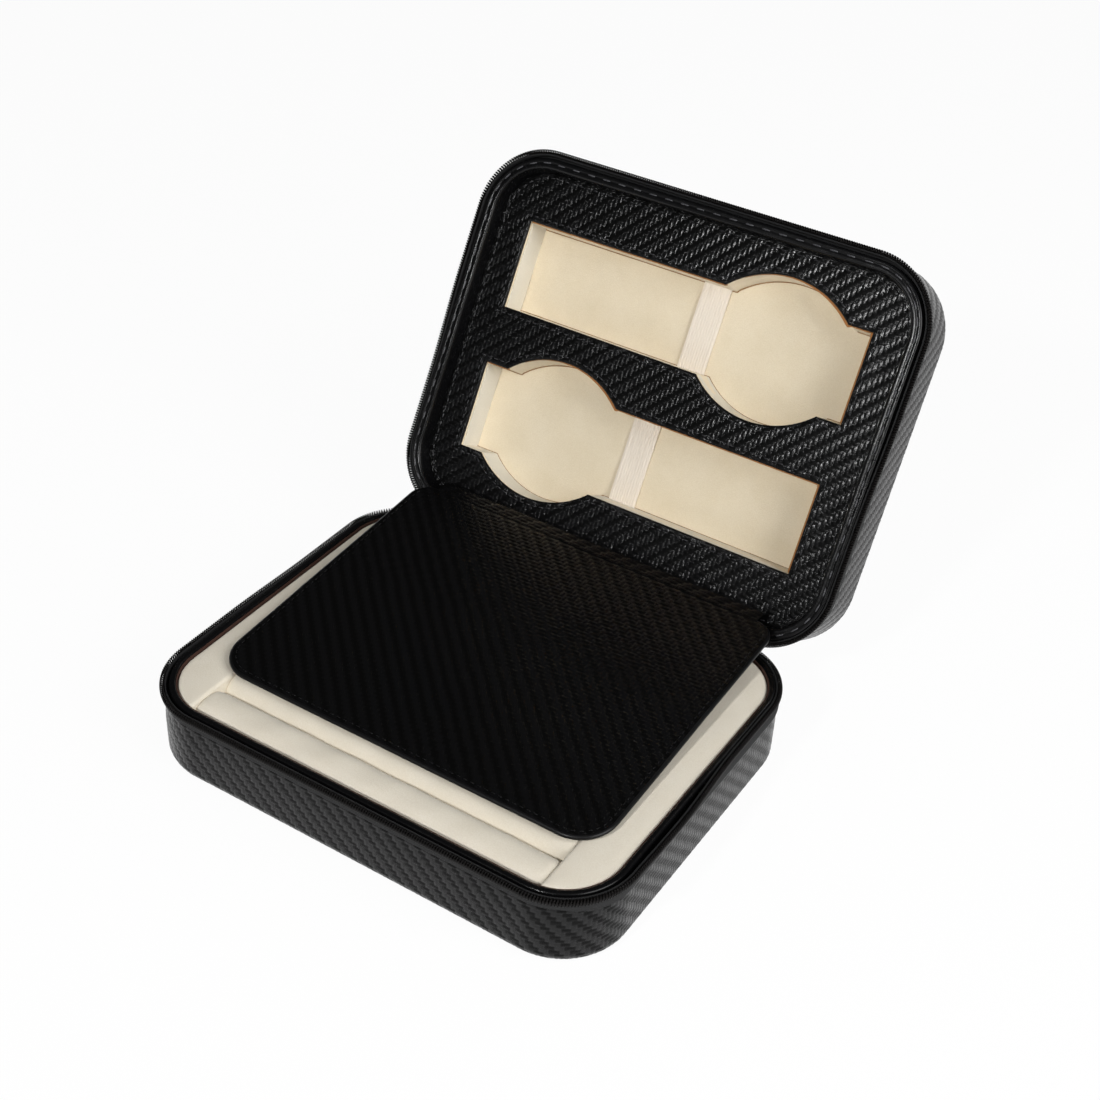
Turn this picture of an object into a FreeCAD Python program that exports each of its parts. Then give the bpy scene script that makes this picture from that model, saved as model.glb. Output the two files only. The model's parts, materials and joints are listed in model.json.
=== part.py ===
import FreeCAD, Part
import math
import os

# Zip-around watch case: two rounded halves joined by a leather spine, a stitched page
# between them, a panel with two watch-shaped windows in the lid and ring rolls in the base.
# Millimetres. +Z is up, +X runs along the spine, +Y points to the spine.
# The origin is the centre of the base's underside.

# Driving dimensions
CASE_WIDTH = 200.0
CASE_DEPTH = 157.0
CORNER_RADIUS = 27.0
HALF_HEIGHT = 34.0
EDGE_ROUND = 5.5
OPEN_ANGLE = 120.0
HINGE_OFFSET = 1.5
HINGE_DROP = 0.9
SKIN = 1.0
BOARD = 2.0
PLAY = 0.05

# Zip: heights are above the half's outer face, offsets are outwards from the case outline
COVER_TOP = 23.8
TAPE_FOOT = 25.4
TAPE_INNER = 0.2
TAPE_OUTER = 1.0
COIL_FOOT = 31.0
COIL_INNER = -0.15
COIL_OUTER = 1.6
COIL_PITCH = 3.6
MOUTH_GAP = 0.35
ZIP_END_X = 69.0
STOP_WIDTH = 3.0
SPINE_SETBACK = 4.0
SPINE_PLAY = 0.4

# Rims: offsets from the case outline
RIM_OUTER = -0.9
BASE_RIM_INNER = -3.5
LID_RIM_INNER = -5.5
RIM_SEAT = 31.0
RIM_TOP = HALF_HEIGHT - 0.15
RIM_BEVEL = 0.6

# Tray in the base
LINER_INNER = BASE_RIM_INNER - 0.5
PLATFORM_TOP = 32.7
PLATFORM_BEVEL = 0.9
BAY_WIDTH = 154.0
ROLL_COUNT = 8
ROLL_CREST = 32.2
ROLL_SAGITTA = 5.5
ROLL_GAP = 0.3

# Window panel in the lid: depths are from the mouth plane
PANEL_INSET = 6.5
PANEL_DEPTH = 7.0
PANEL_SKIN = 0.8
WELL_FLOOR_DEPTH = 22.5
WELL_FLOOR_THICK = 1.5
WELL_WALL = 0.8
WINDOW_LENGTH = 157.0
WINDOW_HEIGHT = 37.4
WINDOW_PITCH = 62.0
WINDOW_SHIFT = 1.3
HEAD_OFFSET = 41.4
HEAD_CHORD = 54.0
HEAD_SAGITTA = 10.8
ELASTIC_WIDTH = 12.7
ELASTIC_THICK = 0.9
ELASTIC_OFFSET = 5.3
ELASTIC_LIFT = 1.6
ELASTIC_FOOT = 1.5

# Page between the halves
PAGE_WIDTH = 171.5
PAGE_THICK = 2.8
PAGE_CORNER = 15.5
PAGE_BACK_CORNER = 3.0
PAGE_AXIS_INSET = 11.0
PAGE_AXIS_DEPTH = 0.5
PAGE_REACH = 139.8
PAGE_START = 4.2
PAGE_SKIN = 0.7
PAGE_LINING = 0.5
PAGE_LAY_ANGLE = 3.6
SEAM_THICK = 0.9

# Zip slider
SLIDER_ANGLE = 20.0
SLIDER_HALF_SPAN = 9.5
SLIDER_HEIGHT = 7.0
SLIDER_PLAY = 0.3
RIVET_DROP = 3.6
RIVET_RADIUS = 0.9
SLIDER_PLATE = 1.0
PULL_LENGTH = 21.0
PULL_THICK = 1.1
PULL_PLAY = 0.15
PULL_EYE = 2.1
PULL_NECK = 1.7
PULL_END = 3.0
PULL_EYELET = 1.2

X_AXIS = FreeCAD.Vector(1, 0, 0)
Y_AXIS = FreeCAD.Vector(0, 1, 0)
Z_AXIS = FreeCAD.Vector(0, 0, 1)
HINGE_POINT = FreeCAD.Vector(0, CASE_DEPTH / 2 + HINGE_OFFSET, HALF_HEIGHT - HINGE_DROP)
CORNER_CENTRE = FreeCAD.Vector(CORNER_RADIUS - CASE_WIDTH / 2, CASE_DEPTH / 2 - CORNER_RADIUS, 0)


def vector(x, y, z=0.0):
    """A point in millimetres."""
    return FreeCAD.Vector(x, y, z)


def polygon(points):
    """A flat face with straight edges through the points."""
    return Part.Face(Part.makePolygon(points + points[:1]))


def rounded_rectangle(width, depth, radius, z=0.0):
    """A flat rectangle with round corners, centred on the Z axis."""
    a, b = width / 2, depth / 2
    s = radius * (1 - math.sqrt(0.5))
    edges = [
        Part.makeLine(vector(radius - a, -b, z), vector(a - radius, -b, z)),
        Part.Arc(vector(a - radius, -b, z), vector(a - s, s - b, z), vector(a, radius - b, z)).toShape(),
        Part.makeLine(vector(a, radius - b, z), vector(a, b - radius, z)),
        Part.Arc(vector(a, b - radius, z), vector(a - s, b - s, z), vector(a - radius, b, z)).toShape(),
        Part.makeLine(vector(a - radius, b, z), vector(radius - a, b, z)),
        Part.Arc(vector(radius - a, b, z), vector(s - a, b - s, z), vector(-a, b - radius, z)).toShape(),
        Part.makeLine(vector(-a, b - radius, z), vector(-a, radius - b, z)),
        Part.Arc(vector(-a, radius - b, z), vector(s - a, s - b, z), vector(radius - a, -b, z)).toShape(),
    ]
    return Part.Face(Part.Wire(edges))


def outline(offset, z=0.0):
    """The case's outline, moved outwards by an offset."""
    return rounded_rectangle(
        CASE_WIDTH + 2 * offset, CASE_DEPTH + 2 * offset, CORNER_RADIUS + offset, z
    )


def slab(offset, low, high):
    """A solid with the case's outline between two heights."""
    return outline(offset, low).extrude(Z_AXIS * (high - low))


def band(inner, outer, low, high):
    """A closed ring that follows the case's outline between two heights."""
    return slab(outer, low, high).cut(slab(inner, low - 1, high + 1))


def box(low, high):
    """A box from its lowest to its highest corner."""
    size = high - low
    return Part.makeBox(size.x, size.y, size.z, low)


def rounded_edges(shape, radius, chosen):
    """A shape with the edges that a test picks rounded."""
    return shape.makeFillet(radius, [edge for edge in shape.Edges if chosen(edge)])


def bevelled_edges(shape, size, chosen):
    """A shape with the edges that a test picks bevelled."""
    return shape.makeChamfer(size, [edge for edge in shape.Edges if chosen(edge)])


def at_height(z):
    """A test for the edges that lie flat at a height."""
    return lambda edge: abs(edge.BoundBox.ZMin - z) < 1e-6 and abs(edge.BoundBox.ZMax - z) < 1e-6


def zip_part(shape):
    """What is left of a ring where the zip runs: the spine's stretch is cut away."""
    gap = box(
        vector(-ZIP_END_X, CASE_DEPTH / 2 - 10, -1), vector(ZIP_END_X, CASE_DEPTH / 2 + 10, HALF_HEIGHT + 1)
    )
    return shape.cut(gap)


# Pieces that the two halves share, drawn as the base stands


def half_cover():
    """The outer skin: a tray of leatherette with a rounded bottom edge."""
    outer = rounded_edges(slab(0, 0, COVER_TOP), EDGE_ROUND, at_height(0))
    inner = rounded_edges(slab(-SKIN, SKIN, COVER_TOP + 1), EDGE_ROUND - SKIN, at_height(SKIN))
    return outer.cut(inner)


def half_panel_board():
    """The stiff board inside the large face."""
    return slab(-EDGE_ROUND - PLAY, SKIN + PLAY, SKIN + BOARD)


def half_wall_board():
    """The stiff board inside the four walls, from the rounded edge up to the rim."""
    return band(-SKIN - PLAY - BOARD, -SKIN - PLAY, EDGE_ROUND + PLAY, RIM_SEAT - PLAY)


def half_zip_tape():
    """The woven tape: a foot glued to the wall and an upright that carries the coil."""
    foot = band(-SKIN, TAPE_OUTER, TAPE_FOOT, TAPE_FOOT + SKIN)
    upright = band(TAPE_INNER, TAPE_OUTER, TAPE_FOOT, COIL_FOOT - PLAY)
    return zip_part(foot.fuse(upright).removeSplitter())


def zip_path(offset, distance):
    """The point and outward direction at a distance along the zip, from its left end."""
    radius = CORNER_RADIUS + offset
    quarter = math.pi / 2 * radius
    end_run = CASE_WIDTH / 2 - CORNER_RADIUS - ZIP_END_X
    side_run = CASE_DEPTH - 2 * CORNER_RADIUS
    front_run = CASE_WIDTH - 2 * CORNER_RADIUS
    point, out = vector(-ZIP_END_X, CASE_DEPTH / 2 + offset), Y_AXIS
    for run in (end_run, side_run, front_run, side_run, end_run):
        straight = min(distance, run)
        turn = min(distance - straight, quarter)
        centre = point + Z_AXIS.cross(out) * straight - out * radius
        out = FreeCAD.Rotation(Z_AXIS, math.degrees(turn / radius)).multVec(out)
        point = centre + out * radius
        distance -= straight + turn
    return point, out


def zip_length(offset):
    """The zip's length, measured at an offset from the case outline."""
    sides = 2 * (CASE_DEPTH - 2 * CORNER_RADIUS) + CASE_WIDTH - 2 * CORNER_RADIUS
    ends = 2 * (CASE_WIDTH / 2 - CORNER_RADIUS - ZIP_END_X)
    return sides + ends + 2 * math.pi * (CORNER_RADIUS + offset)


def half_zip_coil():
    """The coil: a cord with a rib for each turn, as a comb in plan."""
    core, tip = (COIL_INNER + COIL_OUTER) / 2, COIL_OUTER
    length = zip_length(core)
    count = int(length / COIL_PITCH)
    pitch = length / count
    teeth, back = [], []
    for turn in range(count):
        for share, offset in ((0.0, core), (0.25, core), (0.35, tip), (0.65, tip), (0.75, core)):
            point, out = zip_path(core, (turn + share) * pitch)
            teeth.append(point + out * (offset - core))
        point, out = zip_path(core, (turn + 0.5) * pitch)
        back.append(point - out * (core - COIL_INNER))
    first, last = zip_path(core, 0), zip_path(core, length)
    teeth.append(last[0])
    back = [first[0] - first[1] * (core - COIL_INNER)] + back + [last[0] - last[1] * (core - COIL_INNER)]
    comb = polygon(teeth + back[::-1])
    height = HALF_HEIGHT - MOUTH_GAP - COIL_FOOT
    return comb.translated(Z_AXIS * COIL_FOOT).extrude(Z_AXIS * height)


def as_lid(shape):
    """A piece drawn as the base stands, turned over onto the closed base."""
    plane = vector(0, 0, HALF_HEIGHT)
    return shape.mirror(plane, Z_AXIS)


def opened(shape):
    """A piece of the closed lid, swung up about the spine."""
    turned = shape.copy()
    turned.rotate(HINGE_POINT, X_AXIS, -OPEN_ANGLE)
    return turned


# Base


def base_rim():
    """The wrapped ring round the mouth of the base."""
    ring = band(BASE_RIM_INNER, RIM_OUTER, RIM_SEAT, RIM_TOP)
    return bevelled_edges(ring, RIM_BEVEL, at_height(RIM_TOP))


def base_liner():
    """The card that stands round the tray, its bare edge showing inside the rim."""
    return band(LINER_INNER, BASE_RIM_INNER - PLAY, SKIN + BOARD + PLAY, RIM_TOP - 0.6)


def tray_floor():
    """The card that the ring rolls stand on."""
    low = SKIN + BOARD + PLAY
    return slab(LINER_INNER - PLAY, low, low + BOARD)


def tray_side(side):
    """A padded platform beside the roll bay: its outer edge follows the case's corners."""
    low = SKIN + 2 * BOARD + 2 * PLAY
    block = slab(LINER_INNER - PLAY, low, PLATFORM_TOP)
    inner = BAY_WIDTH / 2 + ROLL_GAP
    keep = box(vector(inner, -CASE_DEPTH, 0), vector(CASE_WIDTH, CASE_DEPTH, HALF_HEIGHT))
    platform = bevelled_edges(block.common(keep), PLATFORM_BEVEL, at_height(PLATFORM_TOP))
    return platform if side > 0 else platform.mirror(vector(0, 0), X_AXIS)


def ring_roll(number):
    """One foam roll across the bay, with a round crest. Rings stand between two rolls."""
    low = SKIN + 2 * BOARD + 2 * PLAY
    bay_depth = CASE_DEPTH + 2 * (LINER_INNER - PLAY)
    pitch = bay_depth / ROLL_COUNT
    middle = (number - (ROLL_COUNT - 1) / 2) * pitch
    half = pitch / 2 - ROLL_GAP / 2
    front, back = middle - half, middle + half
    shoulder = ROLL_CREST - ROLL_SAGITTA
    x = -BAY_WIDTH / 2
    crest = Part.Arc(vector(x, front, shoulder), vector(x, middle, ROLL_CREST), vector(x, back, shoulder))
    edges = [
        Part.makeLine(vector(x, back, low), vector(x, front, low)),
        Part.makeLine(vector(x, front, low), vector(x, front, shoulder)),
        crest.toShape(),
        Part.makeLine(vector(x, back, shoulder), vector(x, back, low)),
    ]
    roll = Part.Face(Part.Wire(edges)).extrude(X_AXIS * BAY_WIDTH)
    return roll.common(slab(LINER_INNER - PLAY, 0, HALF_HEIGHT))


def zip_stops():
    """The two clips that close the zip's ends beside the spine."""
    low, high = COIL_FOOT - 2, HALF_HEIGHT - MOUTH_GAP
    y = CASE_DEPTH / 2
    stops = []
    for side in (-1, 1):
        inner = side * (ZIP_END_X - PLAY)
        x = min(inner, inner - side * STOP_WIDTH)
        stops.append(box(vector(x, y + COIL_INNER, low), vector(x + STOP_WIDTH, y + COIL_OUTER, high)))
    return Part.makeCompound(stops)


def bend(centre, inner, outer, start, end, length):
    """A bent strip along X: a sector of a tube between two angles, measured from +Y."""

    def at(radius, angle):
        turn = math.radians(angle)
        return centre + vector(-length / 2, radius * math.cos(turn), radius * math.sin(turn))

    middle = (start + end) / 2
    edges = [
        Part.Arc(at(outer, start), at(outer, middle), at(outer, end)).toShape(),
        Part.makeLine(at(outer, end), at(inner, end)),
        Part.Arc(at(inner, end), at(inner, middle), at(inner, start)).toShape(),
        Part.makeLine(at(inner, start), at(outer, start)),
    ]
    return Part.Face(Part.Wire(edges)).extrude(X_AXIS * length)


def spine():
    """The leather strip that joins the halves: it bends round the hinge axis."""
    inner = CASE_DEPTH / 2 + PLAY
    outer = inner + SKIN
    flange = HALF_HEIGHT - COVER_TOP - SPINE_PLAY
    length = 2 * (ZIP_END_X - SPINE_SETBACK)
    y, z = HINGE_POINT.y, HINGE_POINT.z
    base_leg = box(vector(-length / 2, inner, HALF_HEIGHT - flange), vector(length / 2, outer, z))
    lid_leg = box(vector(-length / 2, inner, z), vector(length / 2, outer, HALF_HEIGHT + flange))
    turn = bend(HINGE_POINT, y - outer, y - inner, 180, 180 - OPEN_ANGLE, length)
    return base_leg.fuse([turn, opened(lid_leg)]).removeSplitter()


# Lid, drawn closed over the base and then opened


def lid_rim():
    """The stitched flange round the lid's mouth, with a slope down to the window panel."""
    low = HALF_HEIGHT + HALF_HEIGHT - RIM_TOP
    high = HALF_HEIGHT + PANEL_DEPTH - PLAY
    flange = band(LID_RIM_INNER, RIM_OUTER, low, 2 * HALF_HEIGHT - RIM_SEAT)
    wide, narrow = outline(LID_RIM_INNER, low), outline(-PANEL_INSET + PLAY, high)
    slope = slab(-SKIN - BOARD - 2 * PLAY, low, high)
    slope = slope.cut(Part.makeLoft([wide.OuterWire, narrow.OuterWire], True))
    ring = flange.fuse(slope).removeSplitter()
    return bevelled_edges(ring, RIM_BEVEL, at_height(low))


def panel_outline(z):
    """The window panel's outline at a height."""
    return outline(-PANEL_INSET, z)


def window_face(which, grow, z):
    """A watch-shaped window: a slot for the strap with a round bulge for the watch's head."""
    side = 1 if which == "upper" else -1
    a, b = WINDOW_LENGTH / 2 + grow, WINDOW_HEIGHT / 2 + grow
    half_chord = (HEAD_CHORD + grow) / 2
    left, right = HEAD_OFFSET - half_chord, HEAD_OFFSET + half_chord
    top = b + HEAD_SAGITTA
    middle_y = -side * WINDOW_PITCH / 2 - WINDOW_SHIFT

    def at(x, y):
        return vector(side * x, middle_y + y, z)

    corners = [at(x, -b) for x in (-a, left, right, a)] + [at(x, b) for x in (a, right, left, -a)]
    edges = []
    for number, start in enumerate(corners):
        end = corners[(number + 1) % len(corners)]
        if number == 1:
            edges.append(Part.Arc(start, at(HEAD_OFFSET, -top), end).toShape())
        elif number == 5:
            edges.append(Part.Arc(start, at(HEAD_OFFSET, top), end).toShape())
        else:
            edges.append(Part.makeLine(start, end))
    return Part.Face(Part.Wire(edges))


def windows(grow, low, high):
    """Both windows as solids between two heights."""
    height = Z_AXIS * (high - low)
    return [window_face(which, grow, low).extrude(height) for which in ("upper", "lower")]


def panel_layer(low, high):
    """A layer of the window panel, with both windows cut through."""
    layer = panel_outline(low).extrude(Z_AXIS * (high - low))
    return layer.cut(windows(0, low - 1, high + 1))


def well_wall(which):
    """The velvet strip that lines a well, from the panel down to the floor."""
    low = HALF_HEIGHT + PANEL_DEPTH + PANEL_SKIN + BOARD + PLAY
    high = HALF_HEIGHT + WELL_FLOOR_DEPTH - PLAY
    outer = window_face(which, WELL_WALL, low).extrude(Z_AXIS * (high - low))
    return outer.cut(window_face(which, 0, low - 1).extrude(Z_AXIS * (high - low + 2)))


def well_floor():
    """The velvet board at the bottom of both wells."""
    low = HALF_HEIGHT + WELL_FLOOR_DEPTH
    return outline(-PANEL_INSET - 1, low).extrude(Z_AXIS * WELL_FLOOR_THICK)


def well_foam():
    """The foam that fills the lid round the wells, under the window panel."""
    low = HALF_HEIGHT + PANEL_DEPTH + PANEL_SKIN + BOARD + PLAY
    high = HALF_HEIGHT + WELL_FLOOR_DEPTH - PLAY
    block = outline(-PANEL_INSET - 1, low).extrude(Z_AXIS * (high - low))
    return block.cut(windows(WELL_WALL + PLAY, low - 1, high + 1))


def lid_padding():
    """The sponge behind the wells, against the lid's board."""
    low = HALF_HEIGHT + WELL_FLOOR_DEPTH + WELL_FLOOR_THICK + PLAY
    high = 2 * HALF_HEIGHT - SKIN - BOARD - PLAY
    return outline(-PANEL_INSET - 1, low).extrude(Z_AXIS * (high - low))


def elastic(which):
    """A band of elastic across a well, just above its floor: the watch's strap goes under it."""
    side = 1 if which == "upper" else -1
    middle = -side * WINDOW_PITCH / 2 - WINDOW_SHIFT
    near, far = side * ELASTIC_OFFSET - ELASTIC_WIDTH / 2, side * ELASTIC_OFFSET + ELASTIC_WIDTH / 2
    front, back = middle - WINDOW_HEIGHT / 2 + PLAY, middle + WINDOW_HEIGHT / 2 - PLAY
    floor = HALF_HEIGHT + WELL_FLOOR_DEPTH
    high = floor - ELASTIC_LIFT
    low = high - ELASTIC_THICK
    strap = box(vector(near, front, low), vector(far, back, high))
    front_foot = box(vector(near, front, low), vector(far, front + ELASTIC_FOOT, floor - PLAY))
    back_foot = box(vector(near, back - ELASTIC_FOOT, low), vector(far, back, floor - PLAY))
    return strap.fuse([front_foot, back_foot]).removeSplitter()


# Page, drawn flat in the closed lid with its hinge line at PAGE_AXIS


PAGE_AXIS = vector(0, CASE_DEPTH / 2 - PAGE_AXIS_INSET, HALF_HEIGHT + PAGE_AXIS_DEPTH)


def laid_out(shape):
    """A page piece, swung from the opened lid down onto the base."""
    turned = shape.copy()
    turned.rotate(PAGE_AXIS, X_AXIS, OPEN_ANGLE + PAGE_LAY_ANGLE)
    return opened(turned)


def page_layer(low, high, inset):
    """A layer of the page between two heights above its hinge line."""
    width, reach = PAGE_WIDTH - 2 * inset, PAGE_REACH - PAGE_START - 2 * inset
    height = Z_AXIS * (high - low)
    front = rounded_rectangle(width, reach, PAGE_CORNER - inset).extrude(height)
    back = rounded_rectangle(width, reach / 2, PAGE_BACK_CORNER - inset).extrude(height)
    sheet = front.fuse(back.translated(Y_AXIS * reach / 4)).removeSplitter()
    middle = PAGE_AXIS.y - (PAGE_START + PAGE_REACH) / 2
    return laid_out(sheet.translated(vector(0, middle, PAGE_AXIS.z + low)))


def page_seam():
    """The bent strip that sews the page to the window panel's lower border."""
    outer = PAGE_THICK / 2
    inner = outer - SEAM_THICK
    length = PAGE_WIDTH - 2 * PAGE_BACK_CORNER
    x = -length / 2
    y, z = PAGE_AXIS.y, PAGE_AXIS.z
    flat = laid_out(box(vector(x, y - PAGE_START + PLAY, z + inner), vector(-x, y, z + outer)))
    foot = opened(box(vector(x, y - outer, z), vector(-x, y - inner, HALF_HEIGHT + PANEL_DEPTH - PLAY)))
    turn = FreeCAD.Rotation(X_AXIS, -OPEN_ANGLE)
    centre = HINGE_POINT + turn.multVec(PAGE_AXIS - HINGE_POINT)
    corner = bend(centre, inner, outer, 180 - OPEN_ANGLE, 90 + PAGE_LAY_ANGLE, length)
    return flat.fuse([foot, corner]).removeSplitter()


# Slider, drawn at the middle of the back wall's corner and turned to its place


def on_corner(shape):
    """A slider piece drawn with its outward direction along +Y, moved to where it parks."""
    turned = shape.copy()
    turned.rotate(vector(0, 0), Z_AXIS, SLIDER_ANGLE)
    turned.translate(CORNER_CENTRE)
    return turned


def corner_plate(inner, outer, low, high, half_span, round_off):
    """A plate that follows the corner's curve between two offsets, with round corners."""
    height = high - low
    ring = Part.makeCylinder(CORNER_RADIUS + outer, height, vector(0, 0, low))
    ring = ring.cut(Part.makeCylinder(CORNER_RADIUS + inner, height + 2, vector(0, 0, low - 1)))
    half_width = (CORNER_RADIUS + outer) * math.sin(math.radians(half_span))
    window = rounded_rectangle(2 * half_width, height, round_off)
    window.rotate(vector(0, 0), X_AXIS, 90)
    window.translate(vector(0, CORNER_RADIUS + outer + 1, (low + high) / 2))
    return ring.common(window.extrude(vector(0, inner - outer - 4, 0)))


def slider_body():
    """The slider: a plate on each side of the coil, joined over its top by a thin wedge."""
    low, top = HALF_HEIGHT - SLIDER_HEIGHT, HALF_HEIGHT
    near, far = COIL_OUTER + SLIDER_PLAY, COIL_OUTER + SLIDER_PLAY + SLIDER_PLATE
    outer = corner_plate(near, far, low, top, SLIDER_HALF_SPAN, 1.8)
    back = RIM_OUTER + SLIDER_PLAY / 2
    inner = corner_plate(back, COIL_INNER - SLIDER_PLAY / 2, low + 0.8, top, SLIDER_HALF_SPAN, 1.0)
    web = corner_plate(back, far - 0.2, top - MOUTH_GAP / 2, top, SLIDER_HALF_SPAN - 2.0, 0.05)
    return on_corner(outer.fuse([inner, web]).removeSplitter())


def slider_rivet():
    """The rivet that carries the pull on the slider's outer plate."""
    face = CORNER_RADIUS + COIL_OUTER + SLIDER_PLAY + SLIDER_PLATE
    foot = vector(0, face, HALF_HEIGHT - RIVET_DROP)
    length = PULL_THICK + 2 * PULL_PLAY
    shank = Part.makeCylinder(RIVET_RADIUS, length, foot, Y_AXIS)
    head = Part.makeCylinder(RIVET_RADIUS + 0.6, 0.4, foot + Y_AXIS * length, Y_AXIS)
    return on_corner(shank.fuse(head))


def zip_pull():
    """The pull: an eye round the rivet and a tongue that widens to a round end."""
    y = CORNER_RADIUS + COIL_OUTER + SLIDER_PLAY + SLIDER_PLATE + PULL_PLAY
    top = HALF_HEIGHT - RIVET_DROP
    low = top - PULL_LENGTH + PULL_END
    eye = Part.makeCylinder(PULL_EYE, PULL_THICK, vector(0, y, top), Y_AXIS)
    end = Part.makeCylinder(PULL_END, PULL_THICK, vector(0, y, low), Y_AXIS)
    sides = [(-PULL_NECK, top), (PULL_NECK, top), (PULL_END, low), (-PULL_END, low)]
    tongue = polygon([vector(x, y, z) for x, z in sides]).extrude(Y_AXIS * PULL_THICK)
    hole = Part.makeCylinder(RIVET_RADIUS + 0.1, 4, vector(0, y - 1, top), Y_AXIS)
    eyelet = Part.makeCylinder(PULL_EYELET, 4, vector(0, y - 1, low), Y_AXIS)
    return on_corner(eye.fuse([end, tongue]).removeSplitter().cut([hole, eyelet]))


def base_pieces():
    """Every piece of the base."""
    pieces = {
        "base_cover": half_cover(),
        "base_bottom_board": half_panel_board(),
        "base_wall_board": half_wall_board(),
        "base_rim": base_rim(),
        "base_zip_tape": half_zip_tape(),
        "base_zip_coil": half_zip_coil(),
        "base_liner": base_liner(),
        "tray_floor": tray_floor(),
        "tray_side_left": tray_side(-1),
        "tray_side_right": tray_side(1),
        "zip_stops": zip_stops(),
        "spine": spine(),
    }
    for number in range(ROLL_COUNT):
        pieces[f"ring_roll_{number + 1}"] = ring_roll(number)
    return pieces


def lid_pieces():
    """Every piece of the lid, opened."""
    skin = HALF_HEIGHT + PANEL_DEPTH
    board = skin + PANEL_SKIN + PLAY
    closed = {
        "lid_cover": as_lid(half_cover()),
        "lid_top_board": as_lid(half_panel_board()),
        "lid_wall_board": as_lid(half_wall_board()),
        "lid_rim": lid_rim(),
        "lid_zip_tape": as_lid(half_zip_tape()),
        "lid_zip_coil": as_lid(half_zip_coil()),
        "panel_cover": panel_layer(skin, skin + PANEL_SKIN),
        "panel_board": panel_layer(board, skin + PANEL_SKIN + BOARD),
        "upper_well_wall": well_wall("upper"),
        "lower_well_wall": well_wall("lower"),
        "well_floor": well_floor(),
        "well_foam": well_foam(),
        "lid_padding": lid_padding(),
        "upper_elastic": elastic("upper"),
        "lower_elastic": elastic("lower"),
    }
    return {name: opened(shape) for name, shape in closed.items()}


def page_pieces():
    """Every piece of the page."""
    half = PAGE_THICK / 2
    return {
        "page_cover": page_layer(half - PAGE_SKIN, half, 0),
        "page_board": page_layer(PAGE_LINING - half + PLAY, half - PAGE_SKIN - PLAY, 0.8),
        "page_lining": page_layer(-half, PAGE_LINING - half, 0.4),
        "page_seam": page_seam(),
    }


def slider_pieces():
    """The zip's slider and its pull."""
    return {"slider_body": slider_body(), "slider_rivet": slider_rivet(), "zip_pull": zip_pull()}


def main():
    """Build every piece and write it to its own file."""
    os.makedirs("parts", exist_ok=True)
    pieces = {**base_pieces(), **lid_pieces(), **page_pieces(), **slider_pieces()}
    for name, shape in pieces.items():
        if not shape.isValid():
            raise ValueError(f"{name} is not a valid shape")
        shape.exportStep(f"parts/{name}.step")
        print(f"{name:20s} {len(shape.Solids):3d} solid(s) {shape.Volume / 1000:9.2f} cm3")


main()
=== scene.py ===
import json
import logging
import math
from dataclasses import dataclass, field
from enum import Enum
from typing import Callable, Sequence

import bmesh
import bpy
import numpy as np
from mathutils import Matrix, Vector
from mathutils.geometry import delaunay_2d_cdt


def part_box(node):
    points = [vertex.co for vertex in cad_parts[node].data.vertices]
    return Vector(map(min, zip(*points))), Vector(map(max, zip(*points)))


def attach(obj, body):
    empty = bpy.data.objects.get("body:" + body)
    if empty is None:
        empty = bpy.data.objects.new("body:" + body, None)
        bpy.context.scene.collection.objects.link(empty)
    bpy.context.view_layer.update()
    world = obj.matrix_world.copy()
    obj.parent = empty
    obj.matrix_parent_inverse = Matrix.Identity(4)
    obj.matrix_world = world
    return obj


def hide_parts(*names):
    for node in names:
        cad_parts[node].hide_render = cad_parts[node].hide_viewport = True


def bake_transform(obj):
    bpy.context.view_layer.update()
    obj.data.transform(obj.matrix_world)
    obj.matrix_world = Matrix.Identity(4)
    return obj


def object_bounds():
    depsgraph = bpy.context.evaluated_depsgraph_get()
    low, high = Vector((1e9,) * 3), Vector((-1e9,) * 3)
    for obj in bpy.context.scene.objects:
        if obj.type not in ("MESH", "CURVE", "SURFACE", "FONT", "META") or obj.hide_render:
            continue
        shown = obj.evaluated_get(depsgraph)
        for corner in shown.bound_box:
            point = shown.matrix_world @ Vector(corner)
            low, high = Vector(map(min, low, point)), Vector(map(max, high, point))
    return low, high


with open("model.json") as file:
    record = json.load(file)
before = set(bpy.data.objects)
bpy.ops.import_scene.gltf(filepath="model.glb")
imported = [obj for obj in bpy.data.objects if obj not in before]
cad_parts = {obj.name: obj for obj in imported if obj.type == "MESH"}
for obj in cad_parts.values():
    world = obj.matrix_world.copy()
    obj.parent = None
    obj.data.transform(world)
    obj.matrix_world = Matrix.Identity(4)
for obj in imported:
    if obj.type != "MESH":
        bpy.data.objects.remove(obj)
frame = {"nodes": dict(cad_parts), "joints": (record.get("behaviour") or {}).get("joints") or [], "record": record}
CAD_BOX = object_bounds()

# A zip-around watch case: two rounded halves on a leather spine, a panel with two watch-shaped
# windows in the lid, ring rolls in the base and a stitched page between them.
# Lengths are millimetres until a mesh is made. A piece of the lid or the page is drawn as it lies
# in the closed case and is then swung to where the frame has it.

MM = 0.001
LOG = logging.getLogger("watch_case")
UP = np.array([0.0, 0.0, 1.0])
CUT, TOW = "Cut", "tow"  # the UV map and the vertex mark that every piece has
CURVE_STEP = 0.9  # between the points of a loop
HOLD = 6.0  # millimetres over which a sheet's waves die away towards its edge

Array = np.ndarray
Object, Node, Tree, Socket = (
    bpy.types.Object, bpy.types.Node, bpy.types.NodeTree, bpy.types.NodeSocket)
Margin = Callable[[Array, Array], Array]


class Body(Enum):
    """The bodies of the frame that new pieces ride on."""

    BASE = "base"
    LID = "lid"
    PAGE = "page"


class Ribs(Enum):
    """Which way the twill's diagonal ribs run, as the sign of the second direction."""

    FALLING = 1.0
    RISING = -1.0


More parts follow.
